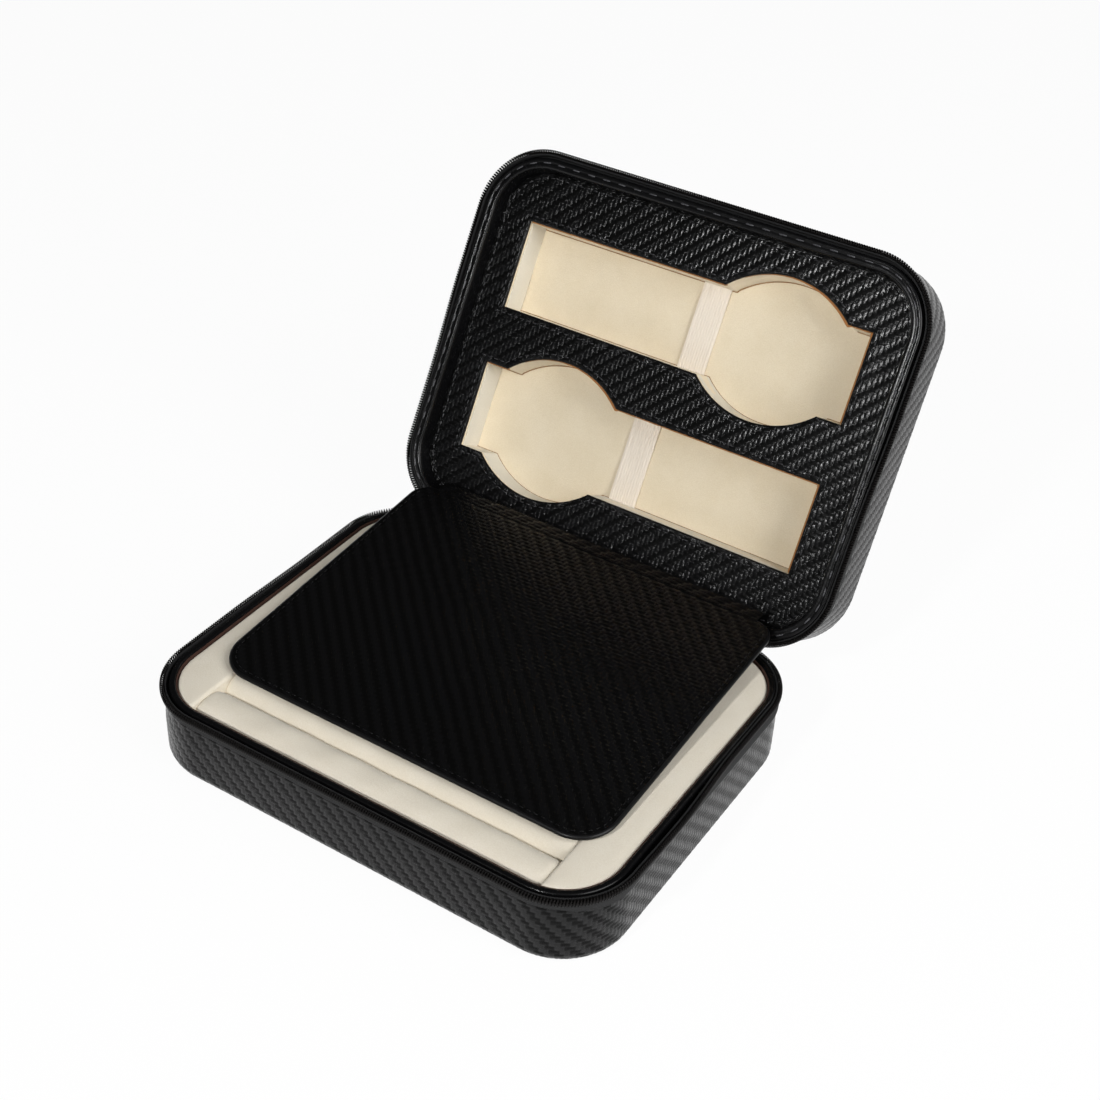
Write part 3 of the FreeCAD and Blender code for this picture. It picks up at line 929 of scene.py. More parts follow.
@dataclass(frozen=True)
class Finish:
    """A real finish: its name, its slot in the record, and how its material is made."""

    name: str
    slot: str

    def material(self) -> bpy.types.Material:
        """Makes the material from the finish's look, the first time it is asked for.

        Returns:
            The material.
        """
        if self in MATERIALS:
            return MATERIALS[self]
        made = MATERIALS[self] = bpy.data.materials.new(self.name)
        tree = emptied(made)
        look = self.look(tree)
        inputs: dict = {**look.plain, **look.linked}
        if isinstance(look.colour, str):
            inputs["Base Color"] = linear(look.colour)
        else:
            share, low, high = look.colour
            inputs["Base Color"] = add_node(tree, "ShaderNodeMix", {"data_type": "RGBA"}, {
                0: share, 6: linear(low), 7: linear(high)}).outputs[2]
        for name, (share, low, high) in look.spreads.items():
            inputs[name] = add_node(tree, "ShaderNodeMapRange", {}, {
                "Value": share, "To Min": low, "To Max": high}).outputs["Result"]
        for height, strength, depth in look.bumps:
            under = {"Normal": inputs["Normal"]} if "Normal" in inputs else {}
            inputs["Normal"] = add_node(tree, "ShaderNodeBump", {}, {
                "Strength": strength, "Distance": depth * MM, "Height": height,
                **under}).outputs["Normal"]
        if look.coated:
            inputs["Coat Normal"] = inputs["Normal"]
        shader = add_node(tree, "ShaderNodeBsdfPrincipled", {}, inputs)
        add_node(tree, "ShaderNodeOutputMaterial", {}, {"Surface": shader.outputs["BSDF"]})
        return made

    def look(self, tree: Tree) -> Look:
        """Makes the finish's patterns.

        Args:
            tree: the material's node tree, to which the patterns' nodes are added.

        Returns:
            The look that uses them.
        """
        raise NotImplementedError


MATERIALS: dict[Finish, bpy.types.Material] = {}


@dataclass(frozen=True)
class TwillLeatherette(Finish):
    """Polyurethane leatherette: a black coat on knitted cloth, embossed with a twill.

    The roller's crosswise tows are polished and its lengthwise tows are sandblasted, so the first
    have a thin glossy top coat and shine, and the second stay dull, which draws the diagonal
    ribs. Fine fibre grooves along each tow spread the shine across it, and all of the coat has a
    pore grain. The grooves are drawn twice as coarse as the roller's.
    """

    smooth_tow: str = "#0a0a0b"
    rough_tow: str = "#080808"
    top_coat: float = 0.35
    groove_mm: float = 0.36
    groove_depth_mm: float = 0.005
    pore_mm: float = 0.35
    cloud_mm: float = 9.0

    def look(self, tree: Tree) -> Look:
        """Colour and gloss by the tow on top, grooves along it as a sine wave, and pores.

        Args:
            tree: the material's node tree.

        Returns:
            The look.
        """
        tow = add_node(tree, "ShaderNodeAttribute", {"attribute_name": TOW}).outputs["Fac"]
        cut = add_node(tree, "ShaderNodeUVMap", {"uv_map": CUT}).outputs["UV"]
        parts = add_node(tree, "ShaderNodeSeparateXYZ", {}, {"Vector": cut}).outputs
        across = add_node(tree, "ShaderNodeMix", {"data_type": "FLOAT"}, {
            0: tow, 2: parts["Y"], 3: parts["X"]}).outputs[0]
        turns = add_node(tree, "ShaderNodeMath", {"operation": "MULTIPLY"}, {
            0: across, 1: 2 * math.pi / (self.groove_mm * MM)}).outputs[0]
        grooves = add_node(tree, "ShaderNodeMath", {"operation": "SINE"}, {0: turns}).outputs[0]
        cloud = add_node(tree, "ShaderNodeMapRange", {}, {
            "Value": grain(tree, self.cloud_mm), "To Min": 0.22, "To Max": 0.26})
        rough = add_node(tree, "ShaderNodeMath", {"operation": "MULTIPLY_ADD"}, {
            0: tow, 1: 0.01, 2: cloud.outputs["Result"]}).outputs[0]
        return Look(
            (tow, self.rough_tow, self.smooth_tow),
            ((grooves, 1.0, self.groove_depth_mm), (grain(tree, self.pore_mm), 0.3, 0.012)),
            {"Coat Weight": (tow, 0.0, self.top_coat)},
            {"Specular IOR Level": 0.1, "Coat Roughness": 0.22}, {"Roughness": rough}, True)


@dataclass(frozen=True)
class SmoothLeatherette(Finish):
    """The same leatherette unembossed, pulled tight round a card ring, so it shines.

    The pull leaves long shallow waves and a faint pore grain.
    """

    gloss: float = 0.24
    wave_mm: float = 5.0
    pore_mm: float = 0.5

    def look(self, tree: Tree) -> Look:
        """Black, with waves and pores as two bumps and a gloss that varies in clouds.

        Args:
            tree: the material's node tree.

        Returns:
            The look.
        """
        return Look(
            (grain(tree, 4.0), "#060607", "#0b0b0c"),
            ((grain(tree, self.wave_mm), 0.5, 0.15), (grain(tree, self.pore_mm, 1.0), 0.3, 0.04)),
            {"Roughness": (grain(tree, 3.0), self.gloss - 0.05, self.gloss + 0.08)},
            {"Specular IOR Level": 0.25})


@dataclass(frozen=True)
class FlockedVelvet(Finish):
    """Velvet made of nylon flock shot on to glued cloth, so the pile stands up.

    The pile looks soft and matt, brighter at a glancing angle, with faint clouds where it was
    brushed one way or the other and a fine speckle from the tufts.
    """

    light: str = "#e8dcc4"
    dark: str = "#ddcfb3"
    tuft_mm: float = 0.45
    brushed_mm: float = 14.0

    def look(self, tree: Tree) -> Look:
        """Two creams mixed by clouds and speckle, a soft sheen, and tufts as bump.

        Args:
            tree: the material's node tree.

        Returns:
            The look.
        """
        tufts = grain(tree, self.tuft_mm, 3.0)
        clouds, speckle = (
            add_node(tree, "ShaderNodeMapRange", {}, {
                "Value": noise, "From Min": start, "From Max": end,
                "To Max": high}).outputs["Result"]
            for noise, start, end, high in (
                (grain(tree, self.brushed_mm), 0.35, 0.65, 0.3), (tufts, 0.3, 0.7, 0.8)))
        mixed = add_node(tree, "ShaderNodeMath", {"operation": "ADD"}, {0: clouds, 1: speckle})
        return Look(
            (mixed.outputs[0], self.light, self.dark), ((tufts, 0.55, 0.25),), {},
            {"Roughness": 0.95, "Specular IOR Level": 0.2, "Sheen Weight": 0.25,
             "Sheen Roughness": 0.5})


@dataclass(frozen=True)
class WovenCloth(Finish):
    """A close plain weave, such as zip tape, lining cloth or elastic: matt with a fine grid."""

    colour: str
    shade: str
    thread_mm: float
    roughness: float = 0.85

    def look(self, tree: Tree) -> Look:
        """Bands both ways cross as warp and weft.

        Args:
            tree: the material's node tree.

        Returns:
            The look.
        """
        weave = add_node(tree, "ShaderNodeMath", {"operation": "MULTIPLY"}, {
            number: bands(tree, direction, self.thread_mm)
            for number, direction in enumerate("XY")}).outputs[0]
        return Look((weave, self.shade, self.colour), ((weave, 0.5, 0.1),), {},
                    {"Roughness": self.roughness})


@dataclass(frozen=True)
class NylonCoil(Finish):
    """Nylon wire wound to a coil and dyed black: smooth, with the dye thinner in places."""

    def look(self, tree: Tree) -> Look:
        """Near-black with a brownish cloud."""
        return Look((grain(tree, 1.2), "#090808", "#120f0e"), (), {},
                    {"Roughness": 0.5, "Specular IOR Level": 0.12})


@dataclass(frozen=True)
class PaintedZinc(Finish):
    """Zinc die casting with baked black enamel: satin, with a slight orange peel."""

    def look(self, tree: Tree) -> Look:
        """Dark enamel with peel as bump and rubbed spots a little smoother."""
        return Look("#1c1c1e", ((grain(tree, 0.8), 0.2, 0.03),),
                    {"Roughness": (grain(tree, 2.5), 0.25, 0.42)}, {"Metallic": 0.35})


@dataclass(frozen=True)
class Card(Finish):
    """Pressed card or foam that shows only as an edge: matt, with a fibrous speckle."""

    light: str = "#8a857b"
    dark: str = "#6f6a61"

    def look(self, tree: Tree) -> Look:
        """Two shades by a fibrous noise, and the same noise as bump.

        Args:
            tree: the material's node tree.

        Returns:
            The look.
        """
        fibres = grain(tree, 0.6, 4.0)
        return Look((fibres, self.dark, self.light), ((fibres, 0.4, 0.1),), {},
                    {"Roughness": 0.9})


@dataclass(frozen=True)
class SewingThread(Finish):
    """Bonded polyester thread: two plies twisted together, black with a silky grey shine."""

    colour: str = "#2a2a2d"
    shade: str = "#161618"
    shine: float = 0.5
    ply_mm: float = 0.5

    def look(self, tree: Tree) -> Look:
        """The plies are slanted bands on the stitch's own cut, used as bump and colour.

        Args:
            tree: the material's node tree.

        Returns:
            The look.
        """
        plies = bands(tree, "DIAGONAL", self.ply_mm)
        return Look((plies, self.shade, self.colour), ((plies, 0.4, 0.08),), {},
                    {"Roughness": 0.42, "Specular IOR Level": self.shine})


TWILL_SKIN = TwillLeatherette("embossed_leatherette", "twill_leatherette")
RIM_SKIN = SmoothLeatherette("smooth_leatherette", "rim_leatherette")
EDGE_SKIN = SmoothLeatherette("edge_leatherette", "twill_leatherette", gloss=0.36)
VELVET = FlockedVelvet("flocked_velvet", "velvet")
TRAY_VELVET = FlockedVelvet("flocked_velvet_tray", "velvet", "#e6dfd0", "#dcd3c1")
ELASTIC = WovenCloth("woven_elastic", "elastic", "#f4ece2", "#e4d9c8", 0.5, 0.7)
TAPE = WovenCloth("woven_zip_tape", "zip_tape", "#141416", "#060607", 0.55)
LINING = WovenCloth("black_lining_cloth", "black_lining", "#131314", "#0a0a0b", 0.4)
COIL = NylonCoil("nylon_coil", "zip_coil")
METAL = PaintedZinc("painted_zinc", "blackened_zinc")
GREY_BOARD = Card("pressed_grey_board", "grey_board")
BLACK_PAPER = Card("black_paper_on_card", "lined_board", "#141414", "#0c0c0c")
LINER_EDGE = Card("red_brown_card", "liner_card", "#45281c", "#331c13")
# The board's raw edge, and painted shade: it is drawn widest where the wells' walls lie in shade.
BOARD_EDGE_AND_SHADE = Card("raw_board_edge_and_shade", "grey_board", "#b67c46", "#94602f")
# Painted shade: a brown card strip at the foot of the wells' walls stands in for the shadow in the gap between
# wall and floor.
WELL_FOOT_SHADE = Card("brown_card_painted_shade", "velvet", "#a07b50", "#7c5c38")
FOAM = Card("pale_foam", "foam", "#e2ded2", "#d3cdbf")
THREAD = SewingThread("black_sewing_thread", "twill_leatherette")
# Painted sheen: the flange's black thread is drawn grey to stand in for its grey shine.
SHEEN_THREAD = SewingThread("sewing_thread_painted_sheen", "rim_leatherette", "#4e4e52", "#303033")
FINE_THREAD = SewingThread("fine_black_thread", "twill_leatherette", "#101011", "#0a0a0b", 0.12)


# ---------------------------------------------------------------------------------------------
# The two halves


PANEL_FACE = MOUTH + 7.0  # the window panel's face in the closed case
WELL_FLOOR = MOUTH + 22.5  # the bottom of the wells behind it


@dataclass
class Shell:
    """A half's skin and its side of the zip, drawn as the base stands.

    Attributes:
        name: the half's name, which its nodes start with.
        placement: where the half goes.
        face_step: the grid on the large face, and wall_step that on the walls.
        coil_shift: how far the coil's turns are moved along the zip, as a share of the pitch, so
            that the two halves' turns lie between each other in the closed case.
        fade: over how far the twill grows from nothing at an edge.
        tape_foot: the height where the tape starts, and tape_outer how far it stands out there.
        bulge: how far the skin stands off the board, and corner_bulge how much more at a corner.
        splay: how far the zip leans outwards.
        right_sag: how far the tape's foot hangs on the right side.
        coil_foot: the height where the coil starts, and coil_proud how far it passes the mouth.
        wire: the radius of the coil's wire.
    """

    name: str
    placement: Placement
    face_step: float
    coil_shift: float
    wall_step: float = 0.48
    fade: float = 0.5
    tape_foot: float = 28.0
    bulge: float = 0.4
    corner_bulge: float = 0.0
    splay: float = 1.0
    right_sag: float = 0.0
    tape_outer: float = 1.0
    coil_foot: float = 31.15
    coil_proud: float = 0.3
    coil_pitch: float = 1.05
    wire: float = 0.24

    def make(self) -> None:
        """Makes every piece of the shell."""
        self.skin_walls()
        self.skin_face()
        self.zip_tape()
        self.zip_coil()

    def _embossed(self, u: Array, v: Array, edge: Array) -> tuple[Array, Array]:
        """The twill's relief and mark on the skin, fading to nothing at an edge.

        The lid is drawn mirrored, so its ribs are drawn the other way to come out alike.
        """
        ribs = Ribs.RISING if self.placement.mirrored else Ribs.FALLING
        return TWILL.height(u, v, ribs, edge, self.fade)

    def skin_walls(self) -> None:
        """The skin round the four walls and the rounded edge, up to its folded top."""
        r, top = SIZES.edge_round, SIZES.cover_top
        arc = np.radians(np.linspace(-90, 0, 19, endpoint=False))
        rounding = np.stack([r * np.cos(arc) - r, r * np.sin(arc) + r], -1)
        heights = np.arange(r, top - 0.6, self.wall_step)
        straight = np.stack([np.zeros_like(heights), heights], -1)
        fold = np.array([[-0.06, -0.3], [-0.25, -0.06], [-0.55, 0], [-0.9, -0.15], [-1.0, -0.6],
                         [-1.0, -3]]) + (0, top)
        profile = np.concatenate([rounding, straight, fold])
        repeat = 4 * TWILL.tow
        count = round(CASE.length / repeat) * round(repeat / self.wall_step)
        stations = np.arange(count) * CASE.length / count
        down = lengths_along(profile)
        edge = np.minimum(down, down[len(rounding) + len(straight)] - down)
        relief, tow = self._embossed(
            np.arange(count)[None, :] * self.wall_step, down[:, None], edge[:, None])
        surface = Surface()
        surface.sweep(CASE, stations, profile, relief, tow,
                      drift=self._bulge(stations[None, :], down[:, None], down[-1]))
        surface.make(f"{self.name}_skin_walls", self.placement, TWILL_SKIN, f"{self.name}_cover")

    def _bulge(self, along: Array, down: Array, whole: float) -> Array:
        """How far the skin stands off the board: the glue never pulls it quite flat.

        It grows smoothly from the large face over the first millimetres, stays, and dies away
        over the upper third. Round one front corner it is more.

        Args:
            along: lengths along the case's outline.
            down: lengths along the wall's section.
            whole: the section's length.

        Returns:
            Distances outwards.
        """
        rise, fall, corner_at, corner_width = 8.0, 14.0, 0.335 * CASE.length, 26.0
        corner = np.exp(-((along - corner_at) / corner_width) ** 2)
        return (eased(down / rise) * eased((whole - down) / fall)
                * (self.bulge + self.corner_bulge * corner))

    def _splay(self, along: Array) -> Array:
        """How far the zip leans outwards: not at all by its ends, and fully further along.

        Args:
            along: lengths along the case's outline.

        Returns:
            Distances outwards at the mouth.
        """
        upright, easing, right_at, right_width = 75.0, 45.0, 0.75 * CASE.length, 50.0
        gap = np.minimum(along, CASE.length - along) - SIZES.zip_end - upright
        right = np.exp(-((along - right_at) / right_width) ** 4)
        return (self.splay + 0.4 * self.right_sag * right) * eased(gap / easing)

    def skin_face(self) -> None:
        """The skin on the large flat face inside the rounded edge."""
        margin = CASE.margin(SIZES.edge_round)

        def lift(x: Array, y: Array) -> tuple[Array, Array]:
            """The relief, downwards, and the mark."""
            relief, tow = self._embossed(x, y, margin(x, y))
            return -relief, tow

        surface = Surface()
        surface.fill([CASE.loop(self.face_step, -SIZES.edge_round)], self.face_step, margin, lift,
                     facing_up=False)
        surface.make(f"{self.name}_skin_face", self.placement, TWILL_SKIN, f"{self.name}_cover")

    def zip_tape(self) -> None:
        """The woven tape: a foot glued to the wall and an upright with ribs across."""
        low, high, out = self.tape_foot, self.coil_foot - 0.1, self.tape_outer
        edge = MOUTH - 0.25
        profile = np.array([
            [-1.0, low], [out - 0.35, low], [out - 0.05, low + 0.25], [out, low + 0.7],
            [out, (low + high) / 2], [out, high - 0.4], [out - 0.15, high - 0.05],
            [-0.32, high], [-0.32, edge - 0.15], [-0.45, edge], [-0.7, edge], [-0.82, edge - 0.15],
            [-0.82, high - 0.4], [out - 0.9, high - 0.8], [out - 0.9, low + 0.8],
            [-1.0, low + 0.8]])
        start, end, step = SIZES.zip_end, CASE.length - SIZES.zip_end, 0.25
        stations = np.linspace(start, end, round((end - start) / step) + 1)
        rib_pitch, rib_height = 0.75, 0.05
        ribs = rib_height * np.cos(stations * 2 * math.pi / rib_pitch)[None, :]
        shown = np.zeros((len(profile), 1))
        shown[2:7, 0] = (0.5, 1, 1, 1, 0.5)
        lean = np.clip((profile[:, 1:] - low - 0.8) / (high - low - 0.8), 0, 1)
        lean[[0, -1]] = 0
        surface = Surface()
        surface.sweep(CASE, stations, profile, ribs * shown, ring=False, solid=True,
                      drift=lean * self._splay(stations[None, :]))
        sag_height, sag_from, sag_over = 2.5, 88, 12
        for part in surface.vertices:
            lower = np.clip((high - part[:, 2]) / sag_height, 0, 1)
            part[:, 2] -= (self.right_sag * lower
                           * np.clip((part[:, 0] - sag_from) / sag_over, 0, 1))
        surface.make(f"{self.name}_zip_tape_woven", self.placement, TAPE, f"{self.name}_zip_tape")

    def zip_coil(self) -> None:
        """The coil: one nylon wire wound to flat turns along the edge of the tape.

        Its middle line goes round a flattened circle once for each pitch along the zip, and the
        wire is a tube round that line, pressed flat below the heads so that its turns touch.
        """
        low, high = self.coil_foot, MOUTH + self.coil_proud
        middle_z, stands_out, half_width, flatness, points = (low + high) / 2, 0.74, 0.92, 0.6, 12
        half_n, half_z = half_width - self.wire, (high - low) / 2 - self.wire
        start, end = SIZES.zip_end, CASE.length - SIZES.zip_end
        turns = int((end - start) / self.coil_pitch) - 1
        turn = np.linspace(0, turns, turns * points + 1)
        angle = 2 * math.pi * turn
        along = start + (turn + 0.25 + self.coil_shift) * self.coil_pitch
        flat = np.sign(np.cos(angle)) * np.abs(np.cos(angle)) ** flatness
        middle_n = stands_out + self._splay(along)
        line = at_height(CASE.points(along, middle_n + half_n * flat),
                         middle_z + half_z * np.sin(angle))
        away = line - at_height(CASE.points(along, middle_n), middle_z)
        ahead = np.gradient(line, axis=0)
        ahead /= np.linalg.norm(ahead, axis=1)[:, None]
        away -= (away * ahead).sum(1)[:, None] * ahead
        away /= np.linalg.norm(away, axis=1)[:, None]
        head, easing = 0.7, 0.5
        pressed = 1 + np.clip((MOUTH - head - line[:, 2]) / easing, 0, 1)
        side = np.cross(ahead, away) * pressed[:, None]
        sides = 5
        around = (np.arange(sides) * 2 * math.pi / sides)[:, None]
        grid = line[:, None] + self.wire * (away[:, None] * np.cos(around)
                                            + side[:, None] * np.sin(around))
        surface = Surface()
        surface.add_grid(grid, pairs(np.arange(sides + 1) * 0.5, turn * 8)[..., ::-1],
                         columns_closed=True)
        surface.make(f"{self.name}_coil_wire", self.placement, COIL, f"{self.name}_zip_coil")


@dataclass
class BaseRim:
    """The card ring round the base's mouth, wrapped in smooth leatherette."""

    outer: float = -0.9
    inner: float = -3.5
    seat: float = 31.0
    crown: float = 1.1

    def make(self) -> None:
        """The wrapped ring: upright sides with a crowned top that is a little uneven."""
        middle, half = (self.outer + self.inner) / 2, (self.outer - self.inner) / 2
        shoulder = MOUTH - 0.1 - self.crown
        arc = np.radians(np.linspace(0, 180, 13))
        top = np.stack([middle + half * np.sign(np.cos(arc)) * np.abs(np.cos(arc)) ** 0.7,
                        shoulder + self.crown * np.sin(arc) ** 0.7], -1)
        profile = np.concatenate([[[self.outer, self.seat]], top, [[self.inner, self.seat]]])
        stations = CASE.stations(1.5)
        wave = 0.07 * ripple(stations[None, :], profile[:, 1:] * 2, scale=26.0, seed=3)
        wave[[0, -1]] = 0
        surface = Surface()
        surface.sweep(CASE, stations, profile, wave, solid=True)
        surface.make("base_rim_wrap", IN_BASE, RIM_SKIN, "base_rim")


@dataclass
class LidRim:
    """The stitched flange round the lid's mouth, with a steep side down to the panel."""

    outer: float = -0.9
    inner: float = -5.5
    panel_edge: float = -6.4
    stitch_line: float = -3.0
    stitch: Stitch = Stitch(7.3, 3.9, 0.3, 0.36)

    def make(self) -> None:
        """The flange, with a groove in its face, and its row of long stitches."""
        face = MOUTH + 0.15
        inner, line, outer = self.inner, self.stitch_line, self.outer
        profile = np.array([
            [self.panel_edge, PANEL_FACE], [self.panel_edge + 0.35, face + 4.5],
            [inner - 0.25, face + 2.2], [inner - 0.05, face + 1.0], [inner + 0.15, face + 0.45],
            [inner + 0.5, face + 0.12], [inner + 1.0, face], [line - 0.7, face + 0.02],
            [line - 0.3, face + 0.14], [line, face + 0.22], [line + 0.3, face + 0.14],
            [line + 0.7, face + 0.02], [outer - 0.9, face + 0.03], [outer - 0.35, face + 0.25],
            [outer - 0.08, face + 0.7], [outer, face + 1.3], [outer, face + 2.8],
            [outer - 2.0, face + 2.8], [outer - 2.0, PANEL_FACE]])
        stations = CASE.stations(1.2)
        wave = 0.06 * ripple(stations[None, :], profile[:, :1] * 2, scale=22.0, seed=8)
        surface = Surface()
        surface.sweep(CASE, stations, profile, wave, solid=True)
        surface.make("lid_rim_wrap", IN_LID, RIM_SKIN, "lid_rim").data.flip_normals()

        x, y, out_x, out_y = CASE.at(CASE.stations(self.stitch.pitch), line)
        level = np.zeros_like(x)
        sunk = Surface()
        sunk.sew(np.stack([x, y, level + face + 0.35], -1), np.stack([-out_y, out_x, level], -1),
                 -UP, self.stitch)
        # The flange stitches use the grey thread, a painted sheen.
        sunk.make("lid_rim_stitches", IN_LID, SHEEN_THREAD)


# ---------------------------------------------------------------------------------------------
# The window panel and its wells


@dataclass
class WindowPanel:
    """The panel in the lid with two windows, and the wells behind them.

    Attributes:
        inset: from the case's side to the panel's edge.
        skin: the skin's thickness, and board the board's.
        grid: the skin's grid.
        hem: from a window's edge to where the skin starts to roll over.
        lean: how far the wells' far side stands in at the floor.
        board_and_shade_shown: how far the board's brown edge looks out where it does most, partly
        as painted shade.
        shade_card_shown: how much of the walls' brown card shows at the floor, as painted shade
        for the dark gap there.
        fade: over how far the twill grows from nothing at an edge.
        velvet_rise: how far the velvet passes the board, as a share of the wall.
        stitch_inset: from a window's edge to its stitches.
        edge_row: from the case's side to the stitches along the panel's edge.
    """

    inset: float = 6.5
    skin: float = 0.8
    board: float = 2.0
    grid: float = 0.45
    hem: float = 0.8
    lean: float = 1.7
    board_and_shade_shown: float = 1.3
    shade_card_shown: float = 0.5
    fade: float = 0.9
    velvet_rise: float = -0.12
    stitch_inset: float = 2.5
    stitch: Stitch = Stitch(3.15, 2.1)
    edge_row: float = -8.3
    edge_stitch: Stitch = Stitch(3.5, 2.1)
    windows: tuple[Window, ...] = (Window("upper", 1, -31.7), Window("lower", -1, 30.4))

    def make(self) -> None:
        """Makes the panel's skin, its stitches, the board's edge, and both wells."""
        self.panel_skin()
        self.stitches()
        self.board_edges_and_shade()
        self.well_floor()
        for window in self.windows:
            self.well_wall(window)
            ElasticBand(window).make()

    def _margin(self, x: Array, y: Array) -> Array:
        """How far a place is inside the panel, from its edge or a window's hem."""
        edges = [window.outside(x, y) - self.hem for window in self.windows]
        return np.minimum.reduce([CASE.inside(x, y) - self.inset, *edges])

    def panel_skin(self) -> None:
        """The embossed skin: a flat sheet whose window edges roll over the board."""
        def lift(x: Array, y: Array) -> tuple[Array, Array]:
            """The panel's height, with the relief and a slight sag, and the mark."""
            margin = np.clip(self._margin(x, y), 0, None)
            relief, tow = TWILL.height(x, -y, Ribs.RISING, margin, self.fade)
            sag = 0.12 * ripple(x, y, scale=70.0, seed=5) * np.clip(margin / HOLD, 0, 1)
            return PANEL_FACE - relief + sag, tow

        surface = Surface()
        loops = [CASE.loop(CURVE_STEP, -self.inset), *(w.loop(self.hem) for w in self.windows)]
        surface.fill(loops, self.grid, self._margin, lift, facing_up=False)
        roll = [(0.05, 1.25), (0.0, 0.8), (0.07, 0.45), (0.24, 0.2), (0.5, 0.05), (self.hem, 0.0)]
        for window in self.windows:
            surface.loft([at_height(window.loop(grow), PANEL_FACE + down) for grow, down in roll])
        surface.make("panel_skin", IN_LID, TWILL_SKIN, "panel_cover", weld=True)

    def stitches(self) -> None:
        """A row of short stitches round each window and one along the panel's edge."""
        surface = Surface()
        rows = [(window.loop(self.stitch_inset), self.stitch) for window in self.windows]
        for loop, stitch in (*rows, (CASE.loop(CURVE_STEP, self.edge_row), self.edge_stitch)):
            points, along = spaced(at_height(loop, PANEL_FACE - 0.1), stitch.pitch)
            surface.sew(points, along, -UP, stitch)
        surface.make("panel_stitches", IN_LID, THREAD)

    def board_edges_and_shade(self) -> None:
        """The bare edge of the panel's board, a thin line between the skin and the velvet.

        It is the board's own edge and also painted shade: it looks out by an amount that grows
        with the edge's outward direction to the upper right, where the wells' walls lie in
        shade, and it draws back into the panel elsewhere.
        """
        low, high = PANEL_FACE + 1.1, PANEL_FACE + self.skin + self.board
        surface = Surface()
        for window in self.windows:
            inner, out = window.loop(0.2), window.loop(1.2) - window.loop(0.2)
            # Painted shade: the brown edge is widened where it faces the upper right, where the wells' walls lie
            # in shade.
            shown = np.clip(out @ (0.8, -0.6), 0, 1)[:, None] ** 1.5
            edge = inner - (self.board_and_shade_shown * shown - 0.5 * (shown < 0.02)) * out
            back = inner + 1.8 * out
            surface.loft([at_height(loop, z) for loop, z in (
                (back, high), (edge, high), (edge, low), (back, low))])
        surface.make("panel_board_edge_and_shade", IN_LID, BOARD_EDGE_AND_SHADE, "panel_board")

    def well_wall(self, window: Window) -> None:
        """The velvet strip round a well, whose far side leans in towards the floor.

        A row's loop is the window's, grown a little, and points that face the hinge side move
        back by the lean times the row's share of the depth.

        Args:
            window: the well's window.
        """
        top, bottom = PANEL_FACE + self.skin + self.board, WELL_FLOOR
        base = window.loop(0.35)
        out = window.loop(1.35) - base
        facing = np.clip(-out[:, 1] / np.linalg.norm(out, axis=1), 0, 1)
        rows = []
        for share in (self.velvet_rise, *np.linspace(0, 1, 12)):
            full = math.sin(math.pi * max(share, 0.0))
            loop = base - out * (0.25 * full + 0.15 * (share < 0.02))
            loop[:, 1] += self.lean * share * facing
            wave = 0.12 * ripple(*loop.T, scale=18.0, seed=11)
            rows.append(at_height(loop - out * wave[:, None] * full,
                                  top + (bottom - top) * share))
        velvet, card = Surface(), Surface()
        velvet.loft(rows[::-1])
        velvet.make(f"{window.name}_well_velvet", IN_LID, VELVET, f"{window.name}_well_wall",
                    fill=0.3)
        # The brown card strip at the wall's foot is painted shade for the dark gap where the wall meets the floor.
        foot = loop - out * 0.06
        card.loft([at_height(foot + out * push, bottom - up) for push, up in (
            (0.5, -0.2), (-0.3, -0.2), (-0.3, self.shade_card_shown), (0.5, self.shade_card_shown))])
        card.make(f"{window.name}_well_shade_card", IN_LID, WELL_FOOT_SHADE)

    def well_floor(self) -> None:
        """The velvet on the board behind both windows, lightly padded."""
        inset = self.inset + 1
        loop = CASE.loop(2.0, -inset)

        def lift(x: Array, y: Array) -> tuple[Array, None]:
            """The floor's height, a little uneven, and no mark."""
            return WELL_FLOOR + 0.1 - 0.22 * ripple(x, y, scale=34.0, seed=21), None

        surface = Surface()
        surface.fill([loop], 1.2, CASE.margin(inset), lift, facing_up=False)
        back = at_height(loop, WELL_FLOOR + 1.5)
        surface.loft([back, at_height(loop, lift(*loop.T)[0])])
        surface.add(back, np.arange(len(loop))[None, :], loop[None])
        surface.make("well_floor_velvet", IN_LID, VELVET, "well_floor", weld=True, fill=0.2)


@dataclass
class ElasticBand:
    """A ribbed band of elastic across a well: the watch's strap goes under it."""

    window: Window
    width: float = 12.7
    thick: float = 0.7
    offset: float = 5.3
    lift: float = 0.25
    cords: int = 11
    rib: float = 0.16

    def make(self) -> None:
        """A sheet over two parameters: along the band, and round its ribbed section.

        The section is a flat loop whose upper and lower sides wave once for each rubber cord.
        Along the band, the loop sinks to the floor over the last few millimetres.
        """
        across = np.linspace(-1, 1, self.cords * 8 + 1)
        ribs = self.rib * np.abs(np.sin(across * math.pi * self.cords / 2))
        pinch = np.clip((1 - np.abs(across)) / 0.05, 0, 1) ** 0.5
        upper = np.stack([across * (self.width / 2), (self.thick / 2 + ribs) * pinch], -1)
        section = np.concatenate([upper, upper[-2:0:-1] * (1, -1)])
        tucked, sinks_over, steps = 0.3, 3.0, 61
        reach = self.window.height / 2 + tucked
        along = np.linspace(-reach, reach, steps)
        lift = self.lift * eased((reach - np.abs(along)) / sinks_over) + self.thick / 2
        grid = np.stack(np.broadcast_arrays(
            self.window.side * self.offset + section[None, :, 0],
            self.window.middle_y + along[:, None],
            WELL_FLOOR - lift[:, None] - section[None, :, 1]), -1)
        surface = Surface()
        surface.add_grid(grid[:, ::-1], pairs(lengths_along(section, True), along)[:, ::-1],
                         columns_closed=True)
        surface.make(f"{self.window.name}_elastic_band", IN_LID, ELASTIC,
                     f"{self.window.name}_elastic").data.flip_normals()


# ---------------------------------------------------------------------------------------------
# The tray in the base


